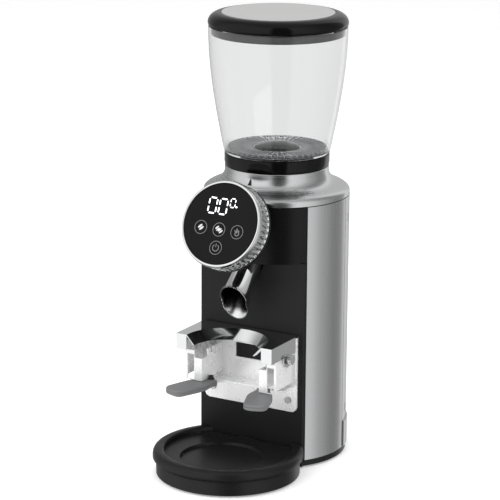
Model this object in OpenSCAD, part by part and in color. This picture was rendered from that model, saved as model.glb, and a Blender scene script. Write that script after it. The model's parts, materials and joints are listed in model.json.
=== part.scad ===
// Burr coffee grinder: a round tower with a clear bean hopper, a tilted dial with a display in it,
// an outlet chute over a portafilter rest, and a round lift-off tray.
// Millimetres. Z is up, the front faces -Y, and the origin is the middle of the footprint at the table.

/* [Body] */
// Radius of the round body
body_r = 67.4; // [66:0.2:82]
// Height of the body up to the collar
body_h = 247.4; // [240:1:300]
// Width of the flat front panel
panel_w = 108; // [100:1:110]
// How far the panel's face stands in front of the edges of the side skins
panel_step = 4.9; // [4:0.1:8]
// Height of the round head above the flat panel
head_h = 52.1; // [48:0.1:56]
// Thickness of the steel skins and of the collar
steel_t = 1.2; // [0.8:0.1:1.6]
// Thickness of the plastic covers
wall_t = 2.4; // [2:0.1:3]
// Height of the base plate's top above the table
base_h = 6.7; // [6:0.1:9]
// Half of the angle that the rear cover spans, in degrees
rear_half = 81; // [76:1:84]

/* [Collar, adjusting ring and hopper] */
// Height of the collar
collar_h = 26; // [24:0.5:32]
// Radius of the adjusting ring and of the hopper's foot
ring_r = 48.3; // [48:0.1:52]
// Height of the adjusting ring
ring_h = 11.8; // [10:0.2:16]
// Height of the clear part of the hopper
hopper_h = 116; // [80:1:160]
// Radius of the hopper at its mouth
mouth_r = 63.4; // [56:0.2:78]
// Thickness of the hopper's wall
hopper_t = 2; // [1.6:0.1:3]
// Height of the lid ring
lid_h = 12.2; // [11:0.2:20]

/* [Dial] */
// Radius of the knurled ring
dial_r = 40; // [38:0.5:44]
// Depth of the knurled ring
dial_depth = 18; // [16:0.5:22]
// How far the dial leans back, in degrees
dial_tilt = 24; // [18:1:30]
// How far the middle of the glass stands in front of the head
dial_reach = 34; // [33:0.5:40]
// Number of grooves in the knurled ring
dial_grooves = 48; // [24:1:60]

/* [Outlet and portafilter rest] */
// Outer radius of the chute where it leaves the head
chute_r = 11.8; // [8:0.2:13]
// Width of the portafilter rest
rest_w = 98; // [92:1:100]
// Depth of the rest in front of the panel
rest_d = 51; // [46:1:60]
// Height of the funnel plate above the table
funnel_z = 128; // [118:1:132]
// Radius of the funnel's upper edge
funnel_r = 38.8; // [36:0.2:41]
// Height of the fork above the table
fork_z = 77; // [70:1:82]

/* [Tray] */
// Radius of the tray
tray_r = 69; // [62:0.5:76]
// Height of the tray's rim above the table
tray_h = 24.5; // [22:0.5:30]
// Height of the plinth under the tray
plinth_h = 14.6; // [12:0.2:16]

/* [Grinding set] */
// Radius of the ring burr
ring_burr_r = 27; // [24:0.5:30]
// Largest radius of the cone burr
cone_burr_r = 19; // [16:0.5:19.2]
// Radius of the burr shaft
shaft_r = 5; // [4:0.1:6]
// Teeth in the cone burr
cone_teeth = 9; // [6:1:12]

/* [Gears and motor] */
// Teeth in the gear on the burr shaft
main_teeth = 44; // [40:1:46]
// Teeth in the idler's small gear
small_teeth = 14; // [13:1:16]
// Teeth in the idler's large gear
large_teeth = 36; // [32:1:38]
// Teeth in the motor's pinion
pinion_teeth = 12; // [12:1:14]
// Module of the slow pair of gears
slow_mod = 1.25; // [1.15:0.05:1.3]
// Module of the fast pair of gears
fast_mod = 1; // [0.9:0.05:1.05]
// Radius of the motor
motor_r = 29; // [24:0.5:31]
// Length of the motor
motor_l = 80; // [60:1:84]

/* [Hidden] */
$fn = 96;

fit = 0.3;
close_fit = 0.05;
far = 400;

// Body
skin_edge_x = panel_w / 2 + 0.5;
skin_half = asin(skin_edge_x / body_r);
skin_edge_y = -body_r * cos(skin_half);
panel_y = skin_edge_y - panel_step;
head_z = body_h - head_h;
case_r = body_r - steel_t;
case_in = case_r - wall_t;
cover_step = 1.2;
cover_band_h = 25;
foot_h = 1.6;
foot_r = 8;

// Collar, ring and hopper, upwards from the top of the body
rim_h = 3.4;
collar_top = body_h + collar_h;
neck_r = ring_r - 0.4;
ring_z = collar_top + 0.4;
ring_top = ring_z + ring_h;
ring_in = ring_r - 5.1;
skirt_r = ring_in + 2;
skirt_z = body_h + 4.2;
hopper_z = ring_top + 0.3;
hopper_foot = ring_r + 0.3;
hopper_top = hopper_z + hopper_h;
ledge_t = 1.6;
hopper_neck_h = 16.6;
guard_z = hopper_z + ledge_t + 0.1;
guard_t = 2;
lid_z = hopper_top + 0.4;
lid_top = lid_z + lid_h;
lid_r = mouth_r + 0.6;
disc_r = lid_r - 12.5;

// Dial
dial_y = -(body_r + dial_reach);
dial_z = body_h - 9;
glass_r = dial_r - 3.3;
pod_depth = dial_depth + 2.2;
pod_neck_r = 19;

// Grinding set, downwards from the top of the body
chamber_r = 40;
chamber_floor = body_h - 51;
flange_z = body_h - 2.4;
carrier_r = 36;
carrier_z = body_h - 23.4;
carrier_top = body_h + 8.6;
burr_z = body_h - 19.4;
burr_h = 20;
cone_z = burr_z - 2;
cone_h = 26;
bearing_r = 11;
bearing_h = 8;

// Gears and motor
gearbox_z = body_h - 107.4;
gearbox_h = 44;
gearbox_r = 60.4;
gearbox_gap = 5;
slow_gap = slow_mod * (main_teeth + small_teeth) / 2;
fast_gap = fast_mod * (large_teeth + pinion_teeth) / 2;
motor_y = 26;
idler_y = (slow_gap * slow_gap - fast_gap * fast_gap + motor_y * motor_y) / (2 * motor_y);
idler_x = sqrt(slow_gap * slow_gap - idler_y * idler_y);
to_idler = atan2(idler_y, idler_x);
to_motor = atan2(motor_y - idler_y, -idler_x);
main_gear_z = gearbox_z + 30;
large_gear_z = gearbox_z + 11;
motor_top = gearbox_z - 8;
motor_z = motor_top - motor_l;
motor_shaft_r = 2.5;

// Rest and chute
sheet_t = 1.5;
channel_in = 30;
channel_out = rest_w / 2 - 1;
channel_y = panel_y - rest_d + 12.5;
channel_top = funnel_z - 18;
ear_y = panel_y - 20.5;
screw_z = funnel_z - 17;
funnel_y = panel_y - 47.5;
funnel_lip = 9;
plate_side = rest_w / 2 + 1;
slot_up = 6;
slot_down = 4;
screw_r = 2;
fork_splay = 20;
prong_w = 10;
prong_l = 34;
prong_root = 6;
mouth_back = 24.645;
mouth_y = dial_y + mouth_back;
mouth_z = head_z - 35.3;
mouth_tilt = 23;
chute_lean = 41;

// Tray
plinth_r = tray_r - 3.1;
plinth_y = panel_y - 41.6;

// The burr axis stands behind the middle of the footprint
axis_y = (tray_r - plinth_y - body_r - cover_step) / 2;

module on_axis() { translate([0, axis_y, 0]) children(); }

module at_dial() {
    translate([0, dial_y, dial_z]) rotate([90 - dial_tilt, 0, 0]) children();
}

module at_idler() { translate([idler_x, idler_y, 0]) children(); }

module at_motor() { translate([0, motor_y, 0]) children(); }

module at_tray() { translate([0, plinth_y, 0]) children(); }

module both_sides() {
    children();
    mirror([1, 0, 0]) children();
}

// A tube standing on z, between two radii
module tube(r_out, r_in, z, h) {
    translate([0, 0, z]) difference() {
        cylinder(r = r_out, h = h);
        translate([0, 0, -1]) cylinder(r = r_in, h = h + 2);
    }
}

// A part of a tube, from one angle to another, measured from the front towards +X
module sector(r_out, r_in, z, h, from, to) {
    translate([0, 0, z]) rotate([0, 0, from - 90]) rotate_extrude(angle = to - from)
        translate([r_in, 0]) square([r_out - r_in, h]);
}

// Keeps what lies behind the front panel's inner face
module behind_panel(gap) {
    intersection() {
        children();
        translate([-far / 2, panel_y + wall_t + gap, -1]) cube([far, far, far]);
    }
}

// Keeps what lies in front of the front panel's face
module before_panel(gap) {
    intersection() {
        children();
        translate([-far / 2, panel_y - gap - far, -1]) cube([far, far, far]);
    }
}

// Gear outline with involute flanks and stub teeth
pressure = 25;
backlash = 0.12;
flank_steps = 4;
function inv(a) = tan(a) * 180 / PI - a;
function flank_half(r, mod, teeth) = 90 / teeth - backlash / (mod * teeth) * 180 / PI + inv(pressure)
    - inv(acos(min(1, mod * teeth / 2 * cos(pressure) / r)));
function tooth_r(i, mod, teeth) = let (lo = max(mod * teeth / 2 * cos(pressure), mod * (teeth / 2 - 1.05)))
    lo + (mod * (teeth / 2 + 0.85) - lo) * i / flank_steps;
module gear_outline(mod, teeth) {
    root = mod * (teeth / 2 - 1.1);
    polygon([for (k = [0 : teeth - 1]) each concat(
        [let (a = k * 360 / teeth - flank_half(tooth_r(0, mod, teeth), mod, teeth)) root * [cos(a), sin(a)]],
        [for (i = [0 : flank_steps]) let (r = tooth_r(i, mod, teeth),
            a = k * 360 / teeth - flank_half(r, mod, teeth)) r * [cos(a), sin(a)]],
        [for (i = [flank_steps : -1 : 0]) let (r = tooth_r(i, mod, teeth),
            a = k * 360 / teeth + flank_half(r, mod, teeth)) r * [cos(a), sin(a)]],
        [let (a = k * 360 / teeth + flank_half(tooth_r(0, mod, teeth), mod, teeth)) root * [cos(a), sin(a)]])]);
}

// Base plate with the round plinth that carries the tray
module base() {
    floor_t = 3.4;
    seat = 2.5;
    color("#1b1b1c") difference() {
        union() {
            translate([0, 0, foot_h]) cylinder(r = body_r - 0.2, h = base_h - foot_h);
            translate([-panel_w / 2, panel_y, foot_h]) cube([panel_w, -panel_y, base_h - foot_h]);
            before_panel(0) at_tray() translate([0, 0, foot_h]) cylinder(r = plinth_r, h = plinth_h - foot_h);
            at_tray() translate([0, 0, foot_h]) cylinder(r = plinth_r - seat - 1, h = floor_t);
        }
        before_panel(0) at_tray() translate([0, 0, foot_h + floor_t]) cylinder(r = plinth_r - seat, h = far);
        behind_panel(2) translate([0, 0, foot_h + floor_t]) cylinder(r = case_in - 4, h = far);
        feet_places() translate([0, 0, -1]) cylinder(r = foot_r, h = foot_h + 2.2);
        for (x = [-24 : 8 : 24]) translate([x - 1.5, 4, 0]) cube([3, 44, far]);
    }
}

// Four places for the feet
module feet_places() {
    both_sides() {
        translate([38, 34, 0]) children();
        at_tray() translate([36, -30, 0]) children();
    }
}

module feet() {
    color("#2c2c2c") feet_places() cylinder(r = foot_r, h = foot_h + 1.2);
}

// Plastic frame inside the skins, with the decks for the gearbox and the chamber
module inner_frame() {
    low = base_h;
    high = body_h - 0.3;
    color("#3a3c3e") difference() {
        union() {
            both_sides() {
                sector(case_r - 0.1, case_in - 0.6, low, high - low, skin_half + 1, 180 - rear_half);
                sector(case_in - 0.1, case_in - 3, low, high - low, 180 - rear_half - 4, 180 - rear_half + 12);
            }
            behind_panel(fit) tube(case_in, case_in - 4, low, 5);
            behind_panel(fit) tube(case_in, gearbox_r - 4, gearbox_z - 3, 3);
            tube(case_in, chamber_r + 0.6, flange_z - 3.6, 3.6);
            board_posts();
        }
        cover_screw_places() cylinder(r = 1.5, h = far);
        at_dial() translate([0, 0, -60]) cylinder(r = pod_neck_r + 0.6, h = 60);
        translate([0, case_in, grommet_z]) rotate([90, 0, 0]) cylinder(r = 8.6, h = 20, center = true);
    }
}

// Two posts that hold the control board to the left wall
board_x = -46;
board_z = gearbox_z - 80;
module board_posts() {
    for (z = [12, 58]) translate([-case_r + 2, 2, board_z + z]) rotate([0, 90, 0])
        cylinder(r = 3.5, h = board_x + case_r - 2.8);
}

// Brushed steel skin on the right side
module side_skin() {
    sector(body_r, case_r, base_h + fit, body_h - base_h - 2 * fit, skin_half, 180 - rear_half - 0.3);
}

module right_side_skin() { color("#b9bbbd") side_skin(); }

module left_side_skin() { color("#b9bbbd") mirror([1, 0, 0]) side_skin(); }

// Rear cover with air slots, a raised band at its foot and the hole for the mains lead
grommet_z = 20;
module rear_cover() {
    from = 180 - rear_half + 0.2;
    to = 180 + rear_half - 0.2;
    slot_h = 3;
    color("#b4b6b8") difference() {
        union() {
            sector(body_r, case_in + fit, base_h + fit, body_h - base_h - 2 * fit, from, to);
            sector(body_r + cover_step, body_r - 1, base_h + fit, cover_band_h, from + 2, to - 2);
        }
        for (i = [0 : 9]) translate([-22, 40, base_h + 44 + i * 2.4 * slot_h]) cube([44, 40, slot_h]);
        translate([0, body_r, grommet_z]) rotate([90, 0, 0]) cylinder(r = 6.6, h = 20, center = true);
        cover_screw_places() cylinder(r = 1.8, h = far);
        cover_screw_places() translate([0, 0, body_r - 1.8]) cylinder(r = 3.6, h = 20);
    }
}

// Four screw axes, square to the cover, with z along the axis outwards
module cover_screw_places() {
    for (z = [base_h + 38, body_h - 20]) both_sides()
        translate([0, 0, z]) rotate([0, 0, 180 - rear_half + 7 - 90]) rotate([0, 90, 0]) children();
}

module rear_screws() {
    color("#8e9194") cover_screw_places() {
        translate([0, 0, body_r - 1.8]) cylinder(r = 3.2, h = 1.6);
        translate([0, 0, case_in - 2.6]) cylinder(r = 1.45, h = body_r - case_in + 1);
    }
}

// Grommet that the mains lead leaves through
module mains_grommet() {
    color("#202020") translate([0, body_r + cover_step, grommet_z]) rotate([90, 0, 0]) difference() {
        union() {
            translate([0, 0, 0.2]) cylinder(r = 6.4, h = wall_t + steel_t + cover_step + 2);
            translate([0, 0, wall_t + steel_t + cover_step + 0.8]) cylinder(r = 8.2, h = 2);
        }
        translate([0, 0, -1]) cylinder(r = 3.4, h = 20);
    }
}

// Flat front panel with short side returns and a notch for the chute
module front_panel() {
    color("#232426") difference() {
        translate([-panel_w / 2, panel_y, base_h]) cube([panel_w, panel_step, head_z - base_h]);
        translate([-panel_w / 2 + wall_t, panel_y + wall_t, 0]) cube([panel_w - 2 * wall_t, far, far]);
        chute_axis() cylinder(r = chute_r + 1.2, h = far, center = true);
        rest_screw_places() cylinder(r = 1.6, h = 20, center = true);
    }
}

// Round glossy head above the panel, with its underside
module head_cover() {
    inset = 0.6;
    color("#161617") difference() {
        intersection() {
            difference() {
                translate([0, 0, head_z]) cylinder(r = body_r - 0.1, h = head_h - fit);
                translate([0, 0, head_z + wall_t]) cylinder(r = body_r - wall_t, h = head_h);
            }
            translate([-skin_edge_x + inset, -far, 0])
                cube([2 * (skin_edge_x - inset), far + skin_edge_y, far]);
        }
        chute_axis() cylinder(r = chute_r + 1.2, h = far, center = true);
        at_dial() translate([0, 0, -60]) cylinder(r = pod_neck_r + 0.2, h = 60);
        cylinder(r = chamber_r + 1, h = far);
    }
}

// Brushed steel collar: a spun flare between the body and the adjusting ring
function bez(t, a, b, c, d) = pow(1 - t, 3) * a + 3 * t * pow(1 - t, 2) * b
    + 3 * t * t * (1 - t) * c + pow(t, 3) * d;
flare_steps = 14;
function flare(inset) = [for (i = [0 : flare_steps]) let (t = i / flare_steps)
    [bez(t, body_r - 0.1, body_r - 1.2, neck_r + 0.8, neck_r) - inset,
     bez(t, rim_h, rim_h + 6.6, rim_h + 6.2, collar_h - 4.4) - inset * (1 - t)]];
module collar() {
    color("#bfc1c3") translate([0, 0, body_h]) rotate_extrude() polygon(concat(
        [[body_r - 6, 0], [body_r - 0.1, 0]], flare(0), [[neck_r, collar_h], [neck_r - steel_t, collar_h]],
        [for (i = [flare_steps : -1 : 0]) flare(steel_t)[i]],
        [[body_r - 0.1 - steel_t, steel_t], [body_r - 6, steel_t]]));
}

// Ring that the hopper stands in: turning it sets the grind
module adjusting_ring() {
    lug_gap = 8.8;
    color("#1a1a1b") difference() {
        rotate_extrude() polygon([[ring_in, skirt_z], [skirt_r, skirt_z], [skirt_r, ring_z],
            [ring_r - 0.8, ring_z], [ring_r, ring_z + 3], [ring_r, ring_top - 0.8],
            [ring_r - 0.8, ring_top], [ring_in, ring_top]]);
        for (a = [0, 120, 240]) rotate([0, 0, a]) translate([ring_in - 5, -lug_gap / 2, skirt_z - 1])
            cube([10, lug_gap, 7.2]);
    }
}

// Clear bean hopper: a bulged wall, a ledge for the guard and a neck that stands in the ring
wall_steps = 12;
function hopper_r(t) = hopper_foot + (mouth_r - hopper_foot) * sin(90 * t);
module hopper() {
    color([0.85, 0.88, 0.9, 0.35]) rotate_extrude() polygon(concat(
        [[ring_in - 2.6, hopper_z - hopper_neck_h], [ring_in - fit, hopper_z - hopper_neck_h],
         [ring_in - fit, hopper_z]],
        [for (i = [0 : wall_steps]) [hopper_r(i / wall_steps), hopper_z + hopper_h * i / wall_steps]],
        [for (i = [wall_steps : -1 : 1])
            [hopper_r(i / wall_steps) - hopper_t, hopper_z + hopper_h * i / wall_steps]],
        [[hopper_foot - hopper_t, hopper_z + ledge_t], [ring_in - 2.6, hopper_z + ledge_t]]));
}

// Guard with radial slots in the hopper's floor
module finger_guard() {
    slots = 24;
    color([0.8, 0.83, 0.85, 0.5]) difference() {
        translate([0, 0, guard_z]) cylinder(r = hopper_foot - hopper_t - fit, h = guard_t);
        for (i = [0 : slots - 1]) rotate([0, 0, i * 360 / slots]) translate([24, -1.8, guard_z - 1])
            cube([ring_in - 29, 3.6, guard_t + 2]);
    }
}

module guard_dome() {
    dome_r = 21;
    dome_h = 5;
    ball = (dome_r * dome_r + dome_h * dome_h) / (2 * dome_h);
    color("#121212") intersection() {
        translate([0, 0, guard_z + guard_t + dome_h - ball]) sphere(r = ball, $fn = 128);
        translate([0, 0, guard_z + guard_t]) cylinder(r = dome_r - 0.4, h = dome_h + 1);
    }
}

// Black lid ring with the plug that fits the hopper's mouth
shoulder_steps = 8;
module lid_ring() {
    plug_r = mouth_r - hopper_t - 1.6;
    color("#141415") rotate_extrude() polygon(concat(
        [[plug_r - 2, lid_z - 8.4], [plug_r, lid_z - 8.4], [plug_r, lid_z], [lid_r - 2, lid_z]],
        [for (i = [0 : shoulder_steps]) let (a = 90 * i / shoulder_steps)
            [disc_r + 0.5 + (lid_r - disc_r - 0.5) * cos(a), lid_z + 2.7 + (lid_h - 3.1) * sin(a)]],
        [[disc_r + 0.3, lid_top - 0.4], [disc_r + 0.3, lid_top - 1.6], [0, lid_top - 1.6],
         [0, lid_top - 4.2], [plug_r - 2, lid_top - 4.2]]));
}

module lid_disc() {
    color("#cfcfce") translate([0, 0, lid_top - 1.6]) cylinder(r = disc_r, h = 1.6);
}

module lid_seal() {
    plug_r = mouth_r - hopper_t - 1.6;
    color("#303030") tube(plug_r + 1, plug_r, lid_z - 7.6, 5.6);
}

// Fixed housing behind the display, with a neck that runs into the head
module dial_housing() {
    flange_t = 1.7;
    color("#1c1c1d") at_dial() difference() {
        union() {
            translate([0, 0, -pod_depth + flange_t]) cylinder(r = glass_r, h = pod_depth - flange_t - 2);
            translate([0, 0, -pod_depth]) cylinder(r = dial_r + 0.1, h = flange_t);
            translate([0, 0, -54]) cylinder(r = pod_neck_r, h = 54 - pod_depth + 1);
        }
        translate([0, 0, -pod_depth + flange_t + 2]) cylinder(r = glass_r - 2.5, h = pod_depth);
        translate([0, 0, -60]) cylinder(r = pod_neck_r - 2.5, h = 60);
    }
}

// Knurled ring that turns round the display
module dial_ring() {
    lip = 0.6;
    color("#d2d4d6") at_dial() difference() {
        rotate_extrude() polygon([[glass_r + fit, -dial_depth], [dial_r - 0.6, -dial_depth],
            [dial_r, -dial_depth + 0.6], [dial_r, -4], [dial_r - 1.9, lip], [glass_r + fit, lip]]);
        for (i = [0 : dial_grooves - 1]) rotate([0, 0, i * 360 / dial_grooves])
            translate([dial_r + 0.7, 0, -dial_depth - 1]) cylinder(r = 1.5, h = dial_depth - 2.5, $fn = 24);
    }
}

module display_glass() {
    color("#0c0c0e") at_dial() translate([0, 0, -2]) cylinder(r = glass_r, h = 2);
}

// Board with the digit block, behind the glass
module display_board() {
    color("#1f6b3a") at_dial() {
        translate([0, 0, -7]) cylinder(r = glass_r - 3, h = 1.6);
        translate([-22, 6, -5.4]) cube([40, 18, 3]);
        for (x = [-19, 0, 18]) translate([x, -5, -5.4]) cylinder(r = 5, h = 3);
        translate([0, -22, -5.4]) cylinder(r = 5, h = 3);
        translate([-10, -12, -11]) cube([20, 10, 4]);
    }
}

// Axis of the chute, with z along it upwards and the mouth at zero
module chute_axis() {
    translate([0, mouth_y, mouth_z]) rotate([-chute_lean, 0, 0]) children();
}

// Polished tube that flares towards a slanted mouth
module chute() {
    flare_l = 32.2;
    flare_r = chute_r + 3.4;
    t = 1;
    color("#cdd0d2") difference() {
        chute_axis() difference() {
            union() {
                translate([0, 0, flare_l]) cylinder(r = chute_r, h = 40);
                translate([0, 0, -14]) cylinder(r1 = flare_r + 2.5, r2 = chute_r, h = flare_l + 14);
            }
            translate([0, 0, flare_l - 0.1]) cylinder(r = chute_r - t, h = 50);
            translate([0, 0, -14.1]) cylinder(r1 = flare_r + 2.5 - t, r2 = chute_r - t, h = flare_l + 14.1);
        }
        translate([0, mouth_y, mouth_z]) rotate([mouth_tilt, 0, 0]) translate([-30, -60, -40])
            cube([60, 60, 80]);
        translate([0, 0, head_z]) cylinder(r = chamber_r + 0.2, h = 60);
    }
}

// Chamber round the burrs, with the outlet port and the seat of the upper bearing
module grinding_chamber() {
    boss_h = bearing_h + 0.4;
    color("#46484a") difference() {
        union() {
            translate([0, 0, chamber_floor]) cylinder(r = chamber_r, h = body_h + 3.6 - chamber_floor);
            translate([0, 0, flange_z]) cylinder(r = chamber_r + 6, h = 3);
            translate([0, 0, chamber_floor - boss_h]) cylinder(r = bearing_r + 3, h = boss_h + 1);
        }
        translate([0, 0, chamber_floor + 4]) cylinder(r = carrier_r - 5, h = far);
        translate([0, 0, carrier_z - 2]) cylinder(r = carrier_r + 0.4, h = far);
        translate([0, 0, chamber_floor - boss_h - 1]) cylinder(r = bearing_r + 0.02, h = boss_h + 1);
        translate([0, 0, chamber_floor - 2]) cylinder(r = shaft_r + 1, h = 20);
        translate([-8, -chamber_r - 5, chamber_floor + 4]) cube([16, 20, 13]);
    }
}

// Threaded carrier of the ring burr, turned by the adjusting ring through three lugs
module burr_carrier() {
    lug_w = 8;
    lug_h = 4;
    color("#55585b") {
        difference() {
            union() {
                rotate_extrude() polygon([[ring_burr_r - 2.4, carrier_z], [carrier_r, carrier_z],
                    [carrier_r, carrier_top - lug_h], [ring_in - 0.6, carrier_top - lug_h],
                    [ring_in - 0.6, carrier_top], [ring_in - 2.6, carrier_top],
                    [ring_burr_r - 2.4, burr_z + burr_h + 1]]);
                for (a = [0, 120, 240]) rotate([0, 0, a])
                    translate([carrier_r - 1, -lug_w / 2, carrier_top - lug_h])
                        cube([skirt_r - carrier_r + 0.4, lug_w, lug_h]);
            }
            translate([0, 0, burr_z]) cylinder(r = ring_burr_r + 0.02, h = burr_h);
            translate([0, 0, burr_z + 1]) cylinder(r = ring_burr_r + 0.02, h = burr_h + 20);
            tube(carrier_r + 2, carrier_r - 1.2, carrier_z + 2, 2.2);
        }
    }
}

module carrier_seal() {
    color("#7d2f24") tube(carrier_r + 0.1, carrier_r - 1.2, carrier_z + 2, 2.2);
}

// Ring burr with straight teeth cut into its cone
module ring_burr() {
    teeth = 24;
    low_in = cone_burr_r + 1;
    color("#8f9295") difference() {
        rotate_extrude() polygon([[low_in, burr_z], [ring_burr_r, burr_z], [ring_burr_r, burr_z + burr_h],
            [low_in + 2.2, burr_z + burr_h], [low_in - 2.4, burr_z + burr_h - 7], [low_in - 0.4, burr_z + 5]]);
        for (i = [0 : teeth - 1]) rotate([0, 0, i * 360 / teeth])
            translate([low_in + 0.3, 0, burr_z + burr_h / 2]) rotate([0, 0, 45])
                cube([1.6, 1.6, far], center = true);
    }
}

// Cone burr with long feed teeth and a fine band at its foot
module cone_burr() {
    top_r = 8;
    slope = atan((cone_burr_r - top_r) / cone_h);
    feed_lean = 10;
    groove = 3.4;
    color("#9a9da0") difference() {
        translate([0, 0, cone_z]) cylinder(r1 = cone_burr_r, r2 = top_r, h = cone_h);
        translate([0, 0, cone_z - 1]) cylinder(r = shaft_r + close_fit / 2, h = cone_h + 2);
        for (i = [0 : cone_teeth - 1]) rotate([0, 0, i * 360 / cone_teeth])
            translate([cone_burr_r + 0.4, 0, cone_z]) rotate([0, -slope, 0]) rotate([feed_lean, 0, 0])
                translate([0, 0, 5]) rotate([0, 0, 45]) translate([-groove / 2, -groove / 2, 0])
                    cube([groove, groove, 2 * cone_h]);
    }
}

module burr_nut() {
    color("#b5b8bb") translate([0, 0, cone_z + cone_h]) difference() {
        cylinder(r = 7.5, h = 5, $fn = 6);
        translate([0, 0, -1]) cylinder(r = shaft_r + close_fit / 2, h = 7);
    }
}

// Impeller that sweeps the grounds to the outlet
module impeller() {
    blades = 4;
    z = chamber_floor + 5;
    color("#e2e2de") difference() {
        union() {
            translate([0, 0, z]) cylinder(r = 28, h = 2.4);
            translate([0, 0, z]) cylinder(r = 10, h = 20);
            for (i = [0 : blades - 1]) rotate([0, 0, i * 360 / blades])
                translate([8, -1.2, z + 1]) cube([19.4, 2.4, 14]);
        }
        translate([0, 0, z - 1]) cylinder(r = shaft_r + close_fit / 2, h = 30);
    }
}

module burr_shaft() {
    low = gearbox_z - 5;
    high = cone_z + cone_h + 6;
    color("#a7aaad") translate([0, 0, low]) cylinder(r = shaft_r, h = high - low);
}

module bearing(z) {
    color("#8a8d90") tube(bearing_r, shaft_r + close_fit, z, bearing_h);
}

module upper_bearing() { bearing(chamber_floor - bearing_h - 0.4); }

module lower_bearing() { bearing(gearbox_z - 5); }

// Lower half of the gearbox, with the seats of the lower bearing and the motor
module gearbox_tray() {
    wall = 2.2;
    floor_t = 3;
    color("#2f3133") difference() {
        union() {
            behind_panel(gearbox_gap) translate([0, 0, gearbox_z]) cylinder(r = gearbox_r, h = gearbox_h - 0.4);
            translate([0, 0, gearbox_z - 6]) cylinder(r = bearing_r + 3, h = 7);
            at_motor() translate([0, 0, motor_top]) cylinder(r = 10, h = 9);
            at_idler() translate([0, 0, gearbox_z]) cylinder(r = 7, h = 9);
        }
        difference() {
            behind_panel(gearbox_gap + wall) translate([0, 0, gearbox_z + floor_t])
                cylinder(r = gearbox_r - wall, h = far);
            translate([0, 0, gearbox_z - 6]) cylinder(r = bearing_r + 3, h = 11);
            at_idler() translate([0, 0, gearbox_z]) cylinder(r = 7, h = 9);
            gearbox_screw_places() cylinder(r = 4, h = far);
        }
        translate([0, 0, gearbox_z - 5]) cylinder(r = bearing_r + 0.02, h = far);
        at_motor() cylinder(r = motor_shaft_r + 1, h = far);
        at_idler() translate([0, 0, gearbox_z + 1]) cylinder(r = 3.02, h = far);
    }
}

module gearbox_screw_places() {
    for (a = [70, 115, 180, 245, 290]) rotate([0, 0, a - 90]) translate([gearbox_r - 5, 0, 0]) children();
}

module gearbox_lid() {
    color("#2f3133") difference() {
        behind_panel(gearbox_gap) translate([0, 0, gearbox_z + gearbox_h - 0.4])
            cylinder(r = gearbox_r, h = 2.6);
        cylinder(r = shaft_r + 1.5, h = far);
        at_idler() translate([0, 0, gearbox_z]) cylinder(r = 3.02, h = gearbox_h + 1);
    }
}

module drive_gear() {
    color("#e8e4d8") translate([0, 0, main_gear_z]) difference() {
        union() {
            rotate([0, 0, to_idler]) linear_extrude(8) gear_outline(slow_mod, main_teeth);
            translate([0, 0, -4]) cylinder(r = 10, h = 14);
        }
        translate([0, 0, -10]) cylinder(r = shaft_r + close_fit / 2, h = 30);
        for (i = [0 : 4]) rotate([0, 0, 72 * i]) translate([17, 0, -1]) cylinder(r = 4.6, h = 20);
    }
}

// Idler: a large gear driven by the pinion and a small gear that drives the burr shaft
module idler_gear() {
    color("#dcd7c6") at_idler() difference() {
        union() {
            translate([0, 0, large_gear_z]) rotate([0, 0, to_motor]) linear_extrude(8)
                gear_outline(fast_mod, large_teeth);
            translate([0, 0, large_gear_z + 7]) rotate([0, 0, to_idler + 180 + 180 / small_teeth])
                linear_extrude(21) gear_outline(slow_mod, small_teeth);
        }
        cylinder(r = 3 + close_fit, h = far);
    }
}

module idler_pin() {
    color("#a7aaad") at_idler() translate([0, 0, gearbox_z + 1]) cylinder(r = 3, h = gearbox_h);
}

// Motor shaft with the pinion cut on its upper end
module motor_shaft() {
    color("#9fa2a5") at_motor() {
        translate([0, 0, motor_z - 14]) cylinder(r = motor_shaft_r, h = large_gear_z + 1 - motor_z + 14);
        translate([0, 0, large_gear_z - 1]) rotate([0, 0, to_motor + 180 + 180 / pinion_teeth])
            linear_extrude(11) gear_outline(fast_mod, pinion_teeth);
    }
}

module motor_armature() {
    core_r = motor_r - 9.4;
    color("#8d5a33") at_motor() {
        difference() {
            union() {
                translate([0, 0, motor_z + 22]) cylinder(r = core_r, h = motor_l - 34);
                translate([0, 0, motor_z + 7]) cylinder(r = 9, h = 16);
            }
            cylinder(r = motor_shaft_r + close_fit / 2, h = far);
            for (i = [0 : 11]) rotate([0, 0, 30 * i]) translate([core_r - 4, -1, 0]) cube([10, 2, far]);
        }
    }
}

module motor_can() {
    color("#8b8e91") at_motor() difference() {
        translate([0, 0, motor_z + 3]) cylinder(r = motor_r, h = motor_l - 3);
        translate([0, 0, motor_z]) cylinder(r = motor_r - 1.6, h = motor_l - 3);
        cylinder(r = motor_shaft_r + close_fit, h = far);
    }
}

module motor_magnets() {
    color("#4a4a4c") at_motor() for (a = [0, 180]) rotate([0, 0, a])
        sector(motor_r - 1.6, motor_r - 8.4, motor_z + 20, motor_l - 28, -60, 60);
}

module motor_cap() {
    color("#1d1d1d") at_motor() difference() {
        union() {
            translate([0, 0, motor_z]) cylinder(r = motor_r, h = 3);
            translate([0, 0, motor_z + 3]) cylinder(r = motor_r - 1.7, h = 2);
            for (a = [0, 180]) rotate([0, 0, a]) translate([10, -3, motor_z + 2]) cube([14, 6, 14]);
        }
        cylinder(r = motor_shaft_r + close_fit, h = far);
        for (i = [0 : 5]) rotate([0, 0, 30 + 60 * i]) translate([19, 0, motor_z - 1])
            cylinder(r = 3.4, h = 20);
    }
}

module motor_fan() {
    fan_r = motor_r - 5;
    color("#2a2a2b") at_motor() translate([0, 0, motor_z - 12]) difference() {
        union() {
            cylinder(r = fan_r, h = 1.6);
            cylinder(r = 6, h = 9);
            for (i = [0 : 8]) rotate([0, 0, 40 * i]) translate([5, -0.8, 0]) cube([fan_r - 5.6, 1.6, 9]);
        }
        translate([0, 0, -1]) cylinder(r = motor_shaft_r + close_fit / 2, h = 12);
    }
}

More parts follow.
